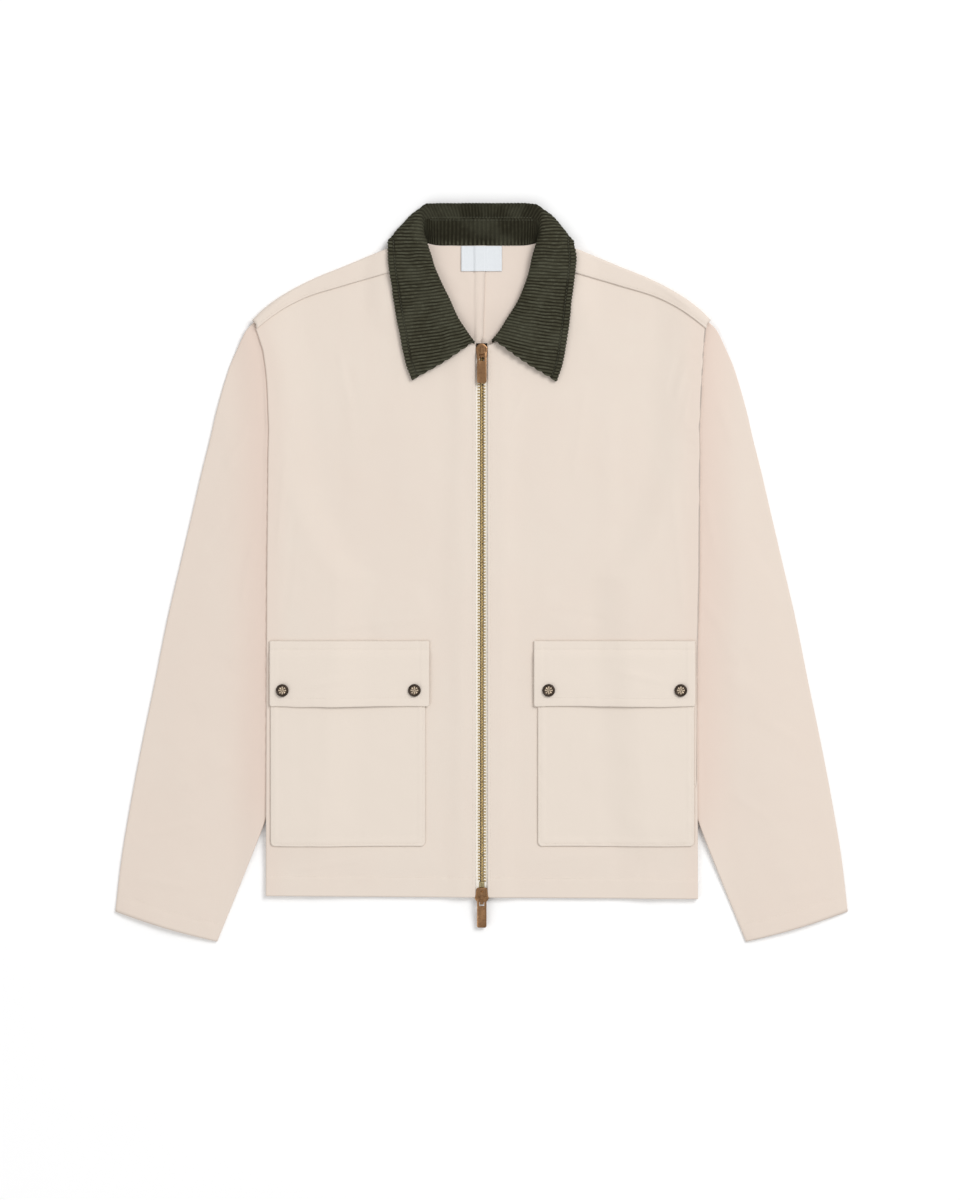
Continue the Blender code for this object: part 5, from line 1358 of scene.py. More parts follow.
def bevelled_copy(node, name, width, material, body):
    """A copy of a hard node's shape with its triangles merged back into flat faces and every sharp
    edge rounded by a three-step bevel."""
    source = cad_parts[node]
    shape = bmesh.new()
    shape.from_mesh(source.data)
    bmesh.ops.transform(shape, matrix=source.matrix_world, verts=shape.verts)
    bmesh.ops.remove_doubles(shape, verts=shape.verts, dist=1e-6)
    bmesh.ops.dissolve_limit(shape, angle_limit=math.radians(1.0), verts=shape.verts, edges=shape.edges)
    sharp = [edge for edge in shape.edges if edge.is_manifold and edge.calc_face_angle() > math.radians(20)]
    bmesh.ops.bevel(shape, geom=sharp, offset=width * MM, segments=3, profile=0.5, affect="EDGES",
                    clamp_overlap=True)
    mesh = bpy.data.meshes.new(name)
    shape.to_mesh(mesh)
    shape.free()
    mesh.shade_smooth()
    mesh.set_sharp_from_angle(angle=math.radians(35))
    return piece(name, mesh, material, body=body, replaces=[node])


def closed_rows(rows, worn=0.0):
    """A closed skin over rings of points, as (points, faces, its wear and painted shade number)."""
    return rows.reshape(-1, 3), tube_faces(1, *rows.shape[:2]), worn


def joined_mesh(name, parts):
    """One mesh of several skins, each (points, faces, wear and shade number), with its normals turned
    outwards and its hard edges kept. The number goes from 1 in a channel painted as shade to 0."""
    points, faces, worn, base = [], [], [], 0
    for part_points, part_faces, part_worn in parts:
        points.append(part_points)
        faces += [[base + corner for corner in face] for face in part_faces]
        worn.append(np.full(len(part_points), part_worn))
        base += len(part_points)
    mesh = closed_mesh(name, np.concatenate(points), faces, 40.0)
    add_numbers(mesh, "worn", np.concatenate(worn))
    return mesh


def rounded_plate(outline, low, high, radius, dome=0.0, worn=0.0, middle=ZIP_X):
    """A plate whose half width at each y is the outline's. Its top falls off to each edge and end
    along a quarter circle, high - r + sqrt(r^2 - d^2), and bulges by a half sine across."""
    y = np.linspace(outline[0][0], outline[-1][0], 40)
    table = np.array(outline)
    order = np.argsort(table[:, 0])
    half = np.interp(y, table[order, 0], table[order, 1])
    to_end = np.minimum(np.abs(y - y[0]), np.abs(y - y[-1]))
    border = np.linspace(0.7, 1, 6)
    u = np.concatenate([-border[::-1], np.linspace(-0.7, 0.7, 9)[1:-1], border])
    x = u[None] * half[:, None]
    near = np.minimum((half[:, None] - np.abs(x)), to_end[:, None])
    drop = np.clip(radius - near, 0.0, radius)
    z = high - radius + np.sqrt(radius**2 - drop**2)
    z = z + dome * np.cos(u * math.pi / 2)[None] * eased(near / 2.0)
    top = np.stack([x + middle, np.broadcast_to(y[:, None], x.shape), z], -1)
    under = top[:, ::-4].copy()
    under[..., 2] = low
    return closed_rows(np.concatenate([top, under], axis=1), worn)


def bent_strap(path, half_width, half_thick):
    """A strap that follows a path of (y, z), with a section of eight points that is nearly a box."""
    path = np.array(path, float)
    share = np.linspace(0, 1, 30)
    run = lengths_along(path)
    at = np.column_stack([np.interp(share * run[-1], run, path[:, axis]) for axis in range(2)])
    ahead = unit(np.gradient(at, axis=0))
    up = np.column_stack([-ahead[:, 1], ahead[:, 0]])
    half_ring = np.array([(1, 0.4), (0.7, 1), (-0.7, 1), (-1, 0.4)])
    ring = np.concatenate([half_ring, -half_ring])
    x = np.broadcast_to(ZIP_X + half_width * ring[None, :, 0], (len(at), 8))
    lift = half_thick * ring[None, :, 1, None] * up[:, None]
    loops = np.dstack([x, at[:, None, 0] + lift[..., 0], at[:, None, 1] + lift[..., 1]])
    return closed_rows(loops)


def slider_mesh(name, wedge_y, pivot_y, up, outline):
    """A slider from its wedge end at wedge_y: a lower plate, the wedge, an upper plate with its own
    outline and two raised cheeks, and the bridge that the pull hangs from. The bottom one, which is
    upside down, has a tongue before its upper plate."""
    upper = [(wedge_y + up * away, half) for away, half in outline]
    lower = [(wedge_y, outline[-1][1] + 0.6), (wedge_y - up * SLIDER_LENGTH, 5.2)]
    wedge = [(wedge_y - up * 0.5, 1.2), (wedge_y - up * 3.4, 1.9)]
    cheek = [(wedge_y - up * 4.6, 0.55), (wedge_y - up * 14.6, 0.5)]
    low, high = pivot_y - 1.9, pivot_y + 6.9
    foot = CHEEKS[0]
    arch = [(low, foot), (low, 9.6), (low + 0.3, 10.9), (low + 1.3, BRIDGE_TOP),
            (high - 2.6, BRIDGE_TOP), (high - 0.9, 11.1), (high, 9.4), (high, foot)]
    parts = [
        rounded_plate(upper, *UPPER_PLATE, 0.8, 0.25),
        # the lower plate and the wedge carry painted shade, as the dark channel inside the slider
        rounded_plate(lower, *LOWER_PLATE, 0.4, worn=1.0),
        rounded_plate(wedge, *WEDGE, 0.3, worn=0.6),
        bent_strap(arch, 1.35, 0.6),
    ]
    if up < 0:
        parts.append(rounded_plate([(wedge_y + 1.0, 2.0), (wedge_y - 2.6, 1.9)], 5.6, 7.4, 0.5))
    for edge in (-1, 1):
        parts.append(rounded_plate(cheek, *CHEEKS, 0.4, middle=ZIP_X + edge * 4.5))
    return joined_mesh(name, parts)


# ---- snaps and label

SNAP_PROFILE = np.array([
    # radius and height as shares of the cap's, from the middle out and down the side
    (0.0, 0.66), (0.10, 0.66), (0.22, 0.64), (0.34, 0.66), (0.46, 0.64), (0.56, 0.66), (0.62, 0.62),
    (0.66, 0.66), (0.70, 0.90), (0.76, 0.98), (0.82, 1.0), (0.89, 0.95), (0.95, 0.80), (0.99, 0.58),
    (1.0, 0.40), (0.98, 0.14), (0.95, 0.0),
])


def snap_grid():
    """A turned cap on a polar grid. Its sunk middle carries a plain rosette: a cosine of eight
    petals round a ring, and a smaller ring of four inside it."""
    profile = along(np.column_stack([SNAP_PROFILE, np.zeros(len(SNAP_PROFILE))]), np.linspace(0, 1, 44))
    radius, height = profile[:, 0].clip(0), profile[:, 1]
    turn = np.linspace(0, 2 * math.pi, 72, endpoint=False)
    petals = 0.085 * np.cos(8 * turn)[None] * bell(radius - 0.42, 0.13)[:, None]
    petals = petals + 0.07 * np.cos(4 * turn + 0.8)[None] * bell(radius - 0.16, 0.08)[:, None]
    z = (height[:, None] + petals) * SNAP_HEIGHT
    x = radius[:, None] * np.cos(turn)[None] * SNAP_RADIUS
    y = radius[:, None] * np.sin(turn)[None] * SNAP_RADIUS
    worn = eased((petals + 0.03) / 0.05) * (radius[:, None] < 0.62)
    return np.stack([x, y, z], -1), worn + 0.06 * bell(radius - 0.81, 0.05)[:, None]


def label_grid():
    """A woven label: flat over the back, stepped over its centre seam, its two ends turned under,
    and its free corners a little raised."""
    x = stations((-LABEL_HALF, LABEL_HALF, 0.7))
    y = stations((LABEL_TOP_Y - LABEL_HEIGHT, LABEL_TOP_Y, 0.7))
    plan = np.dstack(np.meshgrid(x, y))
    px, py = plan[..., 0], plan[..., 1]
    height = LOWEST + NECK_RISE + 1.5
    over_fell = eased((px + FELL_WIDTH + 2.5) / 3.0) * eased((fell_edge(py) + 1.6 - px) / 1.8)
    height = height + 1.1 * over_fell
    near_end = LABEL_HALF - np.abs(px)
    height = height + 0.12 * eased((2.6 - near_end) / 0.8) - 0.3 * bell(near_end, 0.5)
    hang = eased((LABEL_TOP_Y - py) / LABEL_HEIGHT)
    height = height + 0.35 * hang * bell(near_end, 7.0) + 0.1 * mottle(px, py, 9.0, 17) * hang
    return np.dstack([plan, height])


# ---- finishes


def settings():
    """The sizes and colours that the panel shows."""
    return bpy.context.scene.jacket_settings


def new_material(name):
    """A material with its node tree and its Principled shader."""
    material = bpy.data.materials.new(name)
    material.use_nodes = True
    tree = material.node_tree
    return material, tree, tree.nodes["Principled BSDF"]


def made_once(build):
    """Turns a function that makes a named material into one that finds it if it is already there."""
    return lambda name, *values: bpy.data.materials.get(name) or build(name, *values)


def set_inputs(node, **values):
    """Sets a node's inputs by their names, with _ for a space."""
    for key, value in values.items():
        node.inputs[key.replace("_", " ")].default_value = value


def feed(tree, socket, value):
    """Links another node's socket to this one, or sets it to a number or a colour."""
    if isinstance(value, bpy.types.NodeSocket):
        tree.links.new(value, socket)
    elif isinstance(value, (int, float)):
        socket.default_value = value
    else:
        socket.default_value = (*value[:3], 1.0)


def math_node(tree, operation, *values):
    """A Math node fed by sockets or numbers. Returns its output."""
    node = tree.nodes.new("ShaderNodeMath")
    node.operation = operation
    for socket, value in zip(node.inputs, values):
        feed(tree, socket, value)
    return node.outputs[0]


def times(tree, first, second):
    """The product of two values."""
    return math_node(tree, "MULTIPLY", first, second)


def plus(tree, first, second):
    """The sum of two values."""
    return math_node(tree, "ADD", first, second)


def spread(tree, value, factor):
    """A value around 0.5 as its distance from it, times a factor."""
    return times(tree, math_node(tree, "SUBTRACT", value, 0.5), factor)


def clamped(tree, value):
    """The value held between 0 and 1."""
    node = tree.nodes.new("ShaderNodeClamp")
    tree.links.new(value, node.inputs[0])
    return node.outputs[0]


def mix_colour(tree, factor, first, second):
    """A colour Mix node fed by sockets or colours. Returns its output."""
    node = tree.nodes.new("ShaderNodeMix")
    node.data_type = "RGBA"
    sockets = {socket.identifier: socket for socket in node.inputs}
    for name, value in (("Factor_Float", factor), ("A_Color", first), ("B_Color", second)):
        feed(tree, sockets[name], value)
    return next(socket for socket in node.outputs if socket.identifier == "Result_Color")


def smooth_between(tree, value, low, high):
    """A Map Range node, eased from 0 at low to 1 at high."""
    node = tree.nodes.new("ShaderNodeMapRange")
    node.interpolation_type = "SMOOTHSTEP"
    set_inputs(node, From_Min=low, From_Max=high)
    tree.links.new(value, node.inputs["Value"])
    return node.outputs["Result"]


def noise_on(tree, vector, scale, detail=2.0):
    """Noise on coordinates. Returns its value."""
    noise = tree.nodes.new("ShaderNodeTexNoise")
    noise.inputs["Detail"].default_value = detail
    feed(tree, noise.inputs["Scale"], scale)
    tree.links.new(vector, noise.inputs["Vector"])
    return noise.outputs["Fac"]


def stretched_noise(tree, vector, scale, detail=2.0):
    """Noise on coordinates stretched by three factors. Returns its value."""
    stretch = tree.nodes.new("ShaderNodeMapping")
    stretch.inputs["Scale"].default_value = scale
    tree.links.new(vector, stretch.inputs["Vector"])
    return noise_on(tree, stretch.outputs[0], 1.0, detail)


def object_place(tree):
    """Object coordinates, in metres."""
    return tree.nodes.new("ShaderNodeTexCoord").outputs["Object"]


def attribute(tree, name):
    """A number that the mesh carries at its points."""
    node = tree.nodes.new("ShaderNodeAttribute")
    node.attribute_name = name
    return node.outputs["Fac"]


def bump(tree, height, shader, strength, distance):
    """Raises the shader's surface by a height from 0 to 1."""
    node = tree.nodes.new("ShaderNodeBump")
    set_inputs(node, Strength=strength, Distance=distance)
    tree.links.new(height, node.inputs["Height"])
    tree.links.new(node.outputs[0], shader.inputs["Normal"])


def new_group(name, inputs, outputs):
    """An empty shader node group with sockets given as (name, type, default) and (name, type)."""
    group = bpy.data.node_groups.new(name, "ShaderNodeTree")
    for label, kind, value in inputs:
        socket = group.interface.new_socket(label, in_out="INPUT", socket_type="NodeSocket" + kind)
        if value is not None:
            socket.default_value = value
    for label, kind in outputs:
        group.interface.new_socket(label, in_out="OUTPUT", socket_type="NodeSocket" + kind)
    return group, group.nodes.new("NodeGroupInput").outputs, group.nodes.new("NodeGroupOutput").inputs


def group_node(tree, name, build, **values):
    """A node that uses the shared group of that name, built on first use, with its own values."""
    node = tree.nodes.new("ShaderNodeGroup")
    node.node_tree = bpy.data.node_groups.get(name) or build(name)
    set_inputs(node, **values)
    return node


def twill_group(name):
    """Twill weave from thread coordinates: the height is a diagonal wave for the twill line times short
    waves for the threads, and the Mask output is that height evened out by noise, which the finishes use as
    painted shade in the low threads."""
    group, start, end = new_group(
        name,
        [("Threads", "Vector", None), ("Line Pitch", "Float", 0.0011), ("Slub", "Float", 0.35)],
        [("Height", "Float"), ("Mask", "Float")],
    )
    split = group.nodes.new("ShaderNodeSeparateXYZ")
    group.links.new(start["Threads"], split.inputs[0])
    x, y = split.outputs["X"], split.outputs["Y"]
    turn = math_node(group, "DIVIDE", 2 * math.pi, start["Line Pitch"])
    finer = times(group, turn, 1.7)
    line = math_node(group, "SINE", times(group, plus(group, x, y), turn))
    weft = math_node(group, "SINE", times(group, y, finer))
    warp = math_node(group, "SINE", times(group, x, finer))
    weave = plus(group, times(group, line, 0.5), times(group, times(group, weft, warp), 0.3))
    uneven = spread(group, noise_on(group, start["Threads"], 900.0, 3.0), start["Slub"])
    height = plus(group, weave, times(group, uneven, 2.0))
    group.links.new(height, end["Height"])
    group.links.new(plus(group, times(group, height, 0.5), 0.5), end["Mask"])
    return group


def mottle_group(name):
    """Slow unevenness of a finish, 0 to 1: two noises on Object coordinates, a broad and a fine."""
    group, start, end = new_group(
        name, [("Broad", "Float", 9.0), ("Fine", "Float", 60.0)], [("Mask", "Float")]
    )
    place = object_place(group)
    broad = times(group, noise_on(group, place, start["Broad"]), 0.65)
    fine = times(group, noise_on(group, place, start["Fine"]), 0.35)
    sharper = spread(group, plus(group, broad, fine), 2.2)
    group.links.new(clamped(group, plus(group, sharper, 0.5)), end["Mask"])
    return group


def pile_group(name):
    """Cut pile of corduroy. The colour goes from the groove's dark, painted shade, to the cord's light by an
    eased step of the wale number, streaks along the cords paint highlights on their tops, brushed patches of
    worn nap lighten all with painted sheen, and fine tufts darken."""
    group, start, end = new_group(
        name,
        [("Threads", "Vector", None), ("Wale", "Float", 1.0), ("Groove", "Color", (0.01, 0.01, 0.006, 1.0)),
         ("Cord", "Color", (0.06, 0.065, 0.045, 1.0)), ("Nap", "Color", (0.09, 0.10, 0.07, 1.0))],
        [("Color", "Color"), ("Height", "Float")],
    )
    place = start["Threads"]
    uneven = stretched_noise(group, place, (420.0, 260.0, 1.0))
    wale = plus(group, start["Wale"], spread(group, uneven, 0.5))
    # painted shade in the grooves: the colour goes to the groove's dark where the wale number is low
    colour = mix_colour(group, smooth_between(group, wale, 0.30, 1.0), start["Groove"], start["Cord"])
    # painted highlights: lighter streaks along the tops of the cords
    painted_highlight_streaks = smooth_between(group, stretched_noise(group, place, (330.0, 120.0, 1.0)), 0.44, 0.60)
    top = times(group, smooth_between(group, wale, 0.6, 1.0), painted_highlight_streaks)
    colour = mix_colour(group, times(group, top, 0.9), colour, start["Nap"])
    patches = smooth_between(group, stretched_noise(group, place, (26.0, 22.0, 1.0), 3.0), 0.47, 0.62)
    colour = mix_colour(group, times(group, patches, 0.3), colour, start["Nap"])
    tufts = stretched_noise(group, place, (1900.0, 1100.0, 1.0), 3.0)
    dark = times(group, smooth_between(group, tufts, 0.62, 0.34), 0.55)
    group.links.new(mix_colour(group, dark, colour, start["Groove"]), end["Color"])
    group.links.new(tufts, end["Height"])
    return group


def wear_group(name):
    """Handled metal: fine scratches and dull patches, each a noise on Object coordinates."""
    group, start, end = new_group(
        name,
        [("Base", "Color", (0.5, 0.3, 0.2, 1.0)), ("Bright", "Color", (0.7, 0.5, 0.3, 1.0)),
         ("Dull", "Color", (0.2, 0.1, 0.05, 1.0)), ("Roughness", "Float", 0.35)],
        [("Color", "Color"), ("Roughness", "Float"), ("Height", "Float")],
    )
    place = object_place(group)
    patches = noise_on(group, place, 420.0, 4.0)
    scratches = stretched_noise(group, place, (5200.0, 700.0, 5200.0))
    bright = mix_colour(group, scratches, start["Base"], start["Bright"])
    dull = clamped(group, spread(group, patches, 3.0))
    group.links.new(mix_colour(group, dull, bright, start["Dull"]), end["Color"])
    group.links.new(plus(group, start["Roughness"], times(group, dull, 0.25)), end["Roughness"])
    group.links.new(scratches, end["Height"])
    return group


def threads_of(tree):
    """The piece's thread coordinates, in metres."""
    node = tree.nodes.new("ShaderNodeUVMap")
    node.uv_map = "threads"
    return node.outputs[0]


def weave_outputs(tree, pitch, slub):
    """The shared twill's Mask output, used as painted shade in the low threads, and its height on the
    piece's own threads.
    """
    node = group_node(tree, "twill_weave", twill_group, Line_Pitch=pitch, Slub=slub)
    tree.links.new(threads_of(tree), node.inputs["Threads"])
    return node.outputs["Mask"], node.outputs["Height"]


def unevenness(tree, broad, fine):
    """The shared slow unevenness at two scales."""
    return group_node(tree, "slow_unevenness", mottle_group, Broad=broad, Fine=fine).outputs["Mask"]


@made_once
def denim(name, colour, blush_colour):
    """Cotton twill: the weave raises it and darkens its low threads as painted shade, broad unevenness warms
    it, and the tone and painted shade number tints it with painted warm shade where one layer of cloth lies
    beside another, and with a warm tone of its own where that number is even all over."""
    material, tree, shader = new_material(name)
    weave_shade_and_slub, height = weave_outputs(tree, 0.0009, 0.4)
    dark = tuple(0.945 * c for c in colour)
    base = mix_colour(tree, weave_shade_and_slub, dark, tuple(min(1.035 * c, 1.0) for c in colour))
    warm = mix_colour(tree, unevenness(tree, 7.0, 46.0), base, blush_colour)
    even = mix_colour(tree, 0.28, base, warm)
    # painted warm shade, and a warm tone, where the mesh's tone and painted shade number says
    tinted = mix_colour(tree, attribute(tree, "blush"), even, blush_colour)
    tree.links.new(tinted, shader.inputs["Base Color"])
    set_inputs(shader, Roughness=0.92, Specular_IOR_Level=0.2, Sheen_Weight=0.12, Sheen_Roughness=0.5)
    bump(tree, height, shader, 0.25, 0.0001)
    return material


@made_once
def plain_weave(name, colour, pitch, roughness):
    """Tape and label: a finer weave of the same kind, with hardly any slub, its low threads darkened as
    painted shade.
    """
    material, tree, shader = new_material(name)
    weave_shade_and_slub, height = weave_outputs(tree, pitch, 0.15)
    dark = tuple(0.86 * c for c in colour)
    tree.links.new(mix_colour(tree, weave_shade_and_slub, dark, colour), shader.inputs["Base Color"])
    set_inputs(shader, Roughness=roughness, Sheen_Weight=0.08)
    bump(tree, height, shader, 0.5, 0.0001)
    return material


@made_once
def corduroy(name):
    """Wide-wale corduroy: grooves darkened as painted shade, cords with painted highlights along their tops,
    and a pile whose sheen catches grazing light.
    """
    material, tree, shader = new_material(name)
    chosen = settings()
    pile = group_node(
        tree, "cut_pile", pile_group, Groove=(*chosen.groove_shade_and_tuft_colour, 1.0),
        Cord=(*chosen.cord_colour, 1.0), Nap=(*chosen.nap_and_highlight_colour, 1.0),
    )
    tree.links.new(threads_of(tree), pile.inputs["Threads"])
    tree.links.new(attribute(tree, "wale"), pile.inputs["Wale"])
    tree.links.new(pile.outputs["Color"], shader.inputs["Base Color"])
    set_inputs(shader, Roughness=0.95, Specular_IOR_Level=0.06, Sheen_Weight=0.04, Sheen_Roughness=0.35,
               Sheen_Tint=(0.62, 0.66, 0.50, 1.0))
    bump(tree, pile.outputs["Height"], shader, 0.6, 0.00025)
    return material


@made_once
def metal(name):
    """Plated metal with the shared wear. Where it has a colour for wear and shade, the mesh's wear and shade
    number shows it: rubbed wear on the snap caps, painted shade in the sliders' channels.
    """
    material, tree, shader = new_material(name)
    base, bright, dull, roughness, metallic = METALS[name]
    wear = group_node(
        tree, "handled_metal", wear_group, Base=(*base, 1.0), Bright=(*bright, 1.0), Dull=(*dull, 1.0),
        Roughness=roughness,
    )
    colour = wear.outputs["Color"]
    if name in WEAR_AND_SHADE_COLOURS:
        colour = mix_colour(tree, attribute(tree, "worn"), colour, WEAR_AND_SHADE_COLOURS[name])
    tree.links.new(colour, shader.inputs["Base Color"])
    tree.links.new(wear.outputs["Roughness"], shader.inputs["Roughness"])
    shader.inputs["Metallic"].default_value = metallic
    bump(tree, wear.outputs["Height"], shader, 0.15, 0.00004)
    return material


@made_once
def thread(name, colour):
    """Sewing thread: a fine twist on Object coordinates."""
    material, tree, shader = new_material(name)
    twist = unevenness(tree, 900.0, 2600.0)
    dark = tuple(0.85 * c for c in colour)
    tree.links.new(mix_colour(tree, twist, dark, colour), shader.inputs["Base Color"])
    shader.inputs["Roughness"].default_value = 0.6
    bump(tree, twist, shader, 0.4, 0.00008)
    return material


def body_denim():
    """The denim of the fronts, backs and sleeves."""
    return denim("cream_denim", tuple(settings().denim_colour), tuple(settings().blush_colour))


def pocket_denim():
    """The paler denim of the pockets and flaps."""
    return denim("pale_denim", tuple(settings().pocket_colour), tuple(settings().denim_colour))


# ---- settings


def colour_setting(name, description, default):
    """A colour shown in the panel."""
    return bpy.props.FloatVectorProperty(
        name=name, description=description, subtype="COLOR", size=3, min=0.0, max=1.0, default=default
    )


def length_setting(name, description, default, low, high):
    """A length in metres shown in the panel."""
    return bpy.props.FloatProperty(
        name=name, description=description, default=default, min=low, max=high, unit="LENGTH"
    )


class JacketSettings(bpy.types.PropertyGroup):
    """Sizes and colours of the jacket's looks."""

    denim_colour: colour_setting("Denim", "Cream of the fronts, backs and sleeves", (0.77, 0.682, 0.60))
    pocket_colour: colour_setting("Pockets", "Paler cream of the pockets and flaps", (0.778, 0.690, 0.606))
    # painted warm shade where cloth lies beside cloth, also a warm tone on the sleeves and pockets
    blush_colour: colour_setting("Blush", "Warm tint where cloth lies beside cloth", (0.745, 0.615, 0.535))
    # painted shade between the cords, also the colour of darker tufts
    groove_shade_and_tuft_colour: colour_setting("Groove", "Corduroy between its cords", (0.019, 0.0175, 0.0105))
    cord_colour: colour_setting("Cord", "Corduroy on its cords", (0.066, 0.0635, 0.041))
    # painted highlights along the cord tops, and brushed patches of worn nap with painted sheen
    nap_and_highlight_colour: colour_setting("Nap", "Brushed light patches of the corduroy", (0.098, 0.099, 0.068))
    cloth_thickness: length_setting("Cloth", "Thickness of the denim", 0.0012, 0.0005, 0.003)
    wale_height: length_setting("Wale height", "How far a cord stands above its groove", 0.0006, 0.0, 0.0015)
    camera_height: length_setting("Camera height", "Height of the camera over the table", 5.0, 1.0, 20.0)
    light_strength: bpy.props.FloatProperty(
        name="Light", description="Power of the lights, shared out between them", default=61.0, min=0.0,
        subtype="POWER",
    )


# ---- operators


class JACKET_OT_fronts(bpy.types.Operator):
    """Make both fronts"""

    bl_idname = "jacket.fronts"
    bl_label = "Fronts"

    def execute(self, context):
        for side, word in HALVES:
            grid = front_grid(side)
            # painted warm shade that deepens towards the side fold and over the cloth turned in behind it
            near_fold = grid[..., 0] - side_x(grid[..., 1], side) + 26.0
            cloth_piece(f"cloth_front_{word}", sided(grid, side), body_denim(), "denim",
                        [f"back_{word}"], blush=sided(0.35 * eased(near_fold / 24.0), side))
        return {"FINISHED"}


class JACKET_OT_backs(bpy.types.Operator):
    """Make both backs, with the shoulder strips that they fold over"""

    bl_idname = "jacket.backs"
    bl_label = "Backs"

    def execute(self, context):
        for side, word in HALVES:
            grid, keep = back_grid(side)
            # painted warm shade inside the neck: above y 230 and within 70 mm of the middle
            inside = eased((grid[..., 1] - 230.0) / 20.0) * eased((70.0 - grid[..., 0]) / 10.0)
            cloth_piece(f"cloth_back_{word}", sided(grid, side), body_denim(), "denim", ["table"],
                        keep=sided(keep, side), blush=sided(0.35 * inside, side))
        return {"FINISHED"}


class JACKET_OT_sleeves(bpy.types.Operator):
    """Make both sleeves as flat tubes"""

    bl_idname = "jacket.sleeves"
    bl_label = "Sleeves"

    def execute(self, context):
        for side, word in HALVES:
            ring = sleeve_grid(side)
            x, y = ring[..., 0], ring[..., 1]
            # painted warm shade on the sleeve beside the body, fading towards the cuff, over a warm tone of
            # 0.2 all over
            blush = 0.85 * eased((side_x(y, side) + 52.0 - x) / 50.0) * eased((y + 330.0) / 120.0) + 0.2
            cloth_piece(f"cloth_sleeve_{word}", sided(ring, side), body_denim(), "denim",
                        [f"back_{word}"], around=True, plan=False, blush=sided(blush, side))
        return {"FINISHED"}


class JACKET_OT_pockets(bpy.types.Operator):
    """Make the pockets and the flaps over them"""

    bl_idname = "jacket.pockets"
    bl_label = "Pockets and flaps"

    def execute(self, context):
        for side, word in HALVES:
            # the pocket is tinted warmer and darker all over by its tone and painted shade number; the flap
            # is not
            cloth_piece(f"cloth_pocket_{word}", sided(pocket_grid(side), side), pocket_denim(),
                        "pocket_denim", [f"front_{word}"], blush=0.45)
            cloth_piece(f"cloth_flap_{word}", sided(flap_grid(side), side), pocket_denim(),
                        "pocket_denim", [f"pocket_{word}", f"front_{word}"], blush=0.0)
        return {"FINISHED"}


class JACKET_OT_collar(bpy.types.Operator):
    """Make the collar's stand and leaf"""

    bl_idname = "jacket.collar"
    bl_label = "Collar"

    def execute(self, context):
        for part in ("stand", "leaf"):
            collar_piece(part, corduroy("green_corduroy"))
        return {"FINISHED"}


class JACKET_OT_label(bpy.types.Operator):
    """Make the blank neck label"""

    bl_idname = "jacket.label"
    bl_label = "Neck label"

    def execute(self, context):
        material = plain_weave("white_weave", (0.80, 0.83, 0.86), 0.0006, 0.55)
        cloth_piece("cloth_label", label_grid(), material, "label_weave", ["back_left", "back_right"],
                    thick=0.5, replaces=["neck_label"])
        return {"FINISHED"}


class JACKET_OT_snaps(bpy.types.Operator):
    """Make the four snap caps"""

    bl_idname = "jacket.snaps"
    bl_label = "Snaps"

    def execute(self, context):
        cap, worn = snap_grid()
        places = [f"{word}_{place}" for _, word in HALVES for place in SNAP_PLACES]
        for place in places:
            low, high = (np.array(corner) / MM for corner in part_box(f"snap_{place}"))
            centre = ((low[0] + high[0]) / 2, (low[1] + high[1]) / 2, low[2])
            mesh = grid_mesh(f"cap_{place}", (cap + centre)[:, ::-1], around=True, worn=worn[:, ::-1])
            piece(f"cap_{place}", mesh, metal("dark_snap"), replaces=[f"snap_{place}"])
        return {"FINISHED"}


class JACKET_OT_zip(bpy.types.Operator):
    """Make the zip's tapes, teeth, box, sliders and pulls"""

    bl_idname = "jacket.zip"
    bl_label = "Zip"

    def execute(self, context):
        tape = plain_weave("zip_tape", (0.95, 0.90, 0.82), 0.0009, 0.75)
        for side, word in HALVES:
            cloth_piece(f"cloth_tape_{word}", sided(tape_grid(side), side), tape, "tape",
                        [f"front_{word}"], thick=0.7, replaces=[f"zip_tape_{word}"])
        piece("teeth", teeth_mesh("teeth"), metal("brass_teeth"), replaces=["zip_chain"])
        box = rounded_plate([(HEM_Y + 16.9, 2.9), (HEM_Y + 9.4, 3.3)], 3.0, 5.0, 0.8, 0.3)
        piece("zip_box", joined_mesh("zip_box", [box]), metal("dull_brass"))
        copper = metal("copper_slider")
        for place, wedge_y, pivot_y, up, outline in SLIDERS:
            mesh = slider_mesh(f"zip_slider_{place}", wedge_y, pivot_y, up, outline)
            piece(f"zip_slider_{place}", mesh, copper, replaces=[f"slider_{place}"])
            bevelled_copy(f"pull_{place}", f"zip_pull_{place}", 0.25, copper, f"{place}_pull")
        return {"FINISHED"}


class JACKET_OT_stitching(bpy.types.Operator):
    """Sew the rows of stitches that show"""

    bl_idname = "jacket.stitching"
    bl_label = "Stitching"

    def execute(self, context):
        cream_thread = thread("cream_thread", (0.86, 0.78, 0.69))
        green_thread = thread("green_thread", (0.105, 0.108, 0.074))
        for side, word in HALVES:
            stitches(f"sewing_front_{word}", front_paths(side) + [shoulder_path(side)], cream_thread)
            stitches(f"sewing_pocket_{word}", pocket_paths(side) + flap_paths(side), cream_thread)
            cuff = lifted(sleeve_line(side, CUFF_DEPTH))[3:-3]
            stitches(f"sewing_cuff_{word}", [mirrored_path(cuff, side)], cream_thread)
        stitches("sewing_back", back_paths(), cream_thread)
        stitches("sewing_collar", collar_paths(), green_thread)
        return {"FINISHED"}


def placed(scene, name, data, place=(0.0, 0.0, 0.0)):
    """An object for that data in the scene, at its place."""
    obj = bpy.data.objects.new(name, data)
    obj.location = place
    scene.collection.objects.link(obj)
    return obj


def aimed_down(place):
    """Turn that points a light from its place at the middle of the jacket."""
    x, y, z = place
    return (math.atan2(math.hypot(x, y), z), 0.0, math.atan2(y, x) + math.pi / 2)


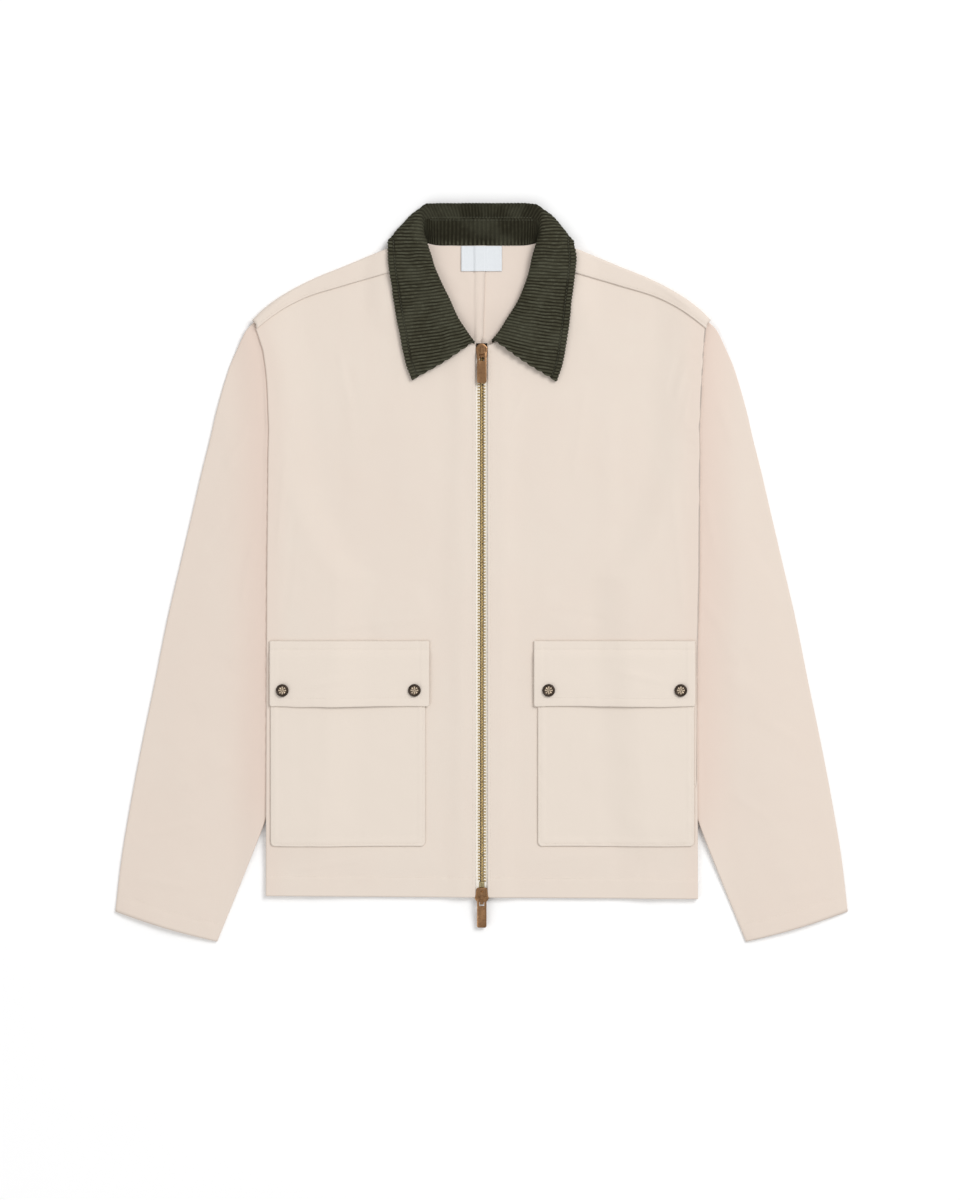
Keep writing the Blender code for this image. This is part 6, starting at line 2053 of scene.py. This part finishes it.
class JACKET_OT_stage(bpy.types.Operator):
    """Make the table, the lights and the camera"""

    bl_idname = "jacket.stage"
    bl_label = "Stage"

    def execute(self, context):
        scene = context.scene
        scene.view_settings.view_transform = "Standard"
        chosen = settings()
        mesh = bpy.data.meshes.new("table")
        corners = [(-1, -1), (1, -1), (1, 1), (-1, 1)]
        mesh.from_pydata([(x * TABLE_HALF, y * TABLE_HALF, TABLE_Z) for x, y in corners], [], [range(4)])
        material, tree, shader = new_material("pale_table")
        colour = mix_colour(tree, unevenness(tree, 1.5, 8.0), (0.975, 0.975, 0.975), (0.99, 0.99, 0.99))
        tree.links.new(colour, shader.inputs["Base Color"])
        shader.inputs["Roughness"].default_value = 0.9
        mesh.materials.append(material)
        placed(scene, "table", mesh)
        for name, place, size, share in LIGHTS:
            data = bpy.data.lights.new(name, "AREA")
            data.shape = "SQUARE"
            data.size = size
            data.energy = chosen.light_strength * share
            placed(scene, name, data, place).rotation_euler = aimed_down(place)
        scene.world = bpy.data.worlds.new("soft_room")
        scene.world.use_nodes = True
        room = scene.world.node_tree.nodes["Background"]
        set_inputs(room, Color=(1.0, 1.0, 1.0, 1.0), Strength=ROOM_LIGHT)
        data = bpy.data.cameras.new("camera")
        data.sensor_width = SENSOR
        data.lens = SENSOR * chosen.camera_height / FRAME_HEIGHT
        data.clip_end = 50.0
        scene.camera = placed(scene, "camera", data, (*FRAME_MIDDLE, chosen.camera_height + 0.008))
        return {"FINISHED"}


OPERATORS = (
    JACKET_OT_stage, JACKET_OT_backs, JACKET_OT_sleeves, JACKET_OT_fronts, JACKET_OT_pockets,
    JACKET_OT_collar, JACKET_OT_label, JACKET_OT_snaps, JACKET_OT_zip, JACKET_OT_stitching,
)


class JACKET_PT_panel(bpy.types.Panel):
    """The jacket's sizes, colours and pieces"""

    bl_label = "Denim jacket"
    bl_idname = "JACKET_PT_panel"
    bl_space_type = "VIEW_3D"
    bl_region_type = "UI"
    bl_category = "Jacket"

    def draw(self, context):
        chosen = context.scene.jacket_settings
        for name in chosen.__annotations__:
            self.layout.prop(chosen, name)
        for operator in OPERATORS:
            self.layout.operator(operator.bl_idname)


CLASSES = (JacketSettings,) + OPERATORS + (JACKET_PT_panel,)


def register():
    """Adds the settings, the operators and the panel."""
    for cls in CLASSES:
        bpy.utils.register_class(cls)
    bpy.types.Scene.jacket_settings = bpy.props.PointerProperty(type=JacketSettings)


def unregister():
    """Takes them away again."""
    del bpy.types.Scene.jacket_settings
    for cls in reversed(CLASSES):
        bpy.utils.unregister_class(cls)


def main():
    """Makes every piece in order."""
    register()
    for operator in OPERATORS:
        group, name = operator.bl_idname.split(".")
        getattr(getattr(bpy.ops, group), name)()


if __name__ == "__main__":
    main()
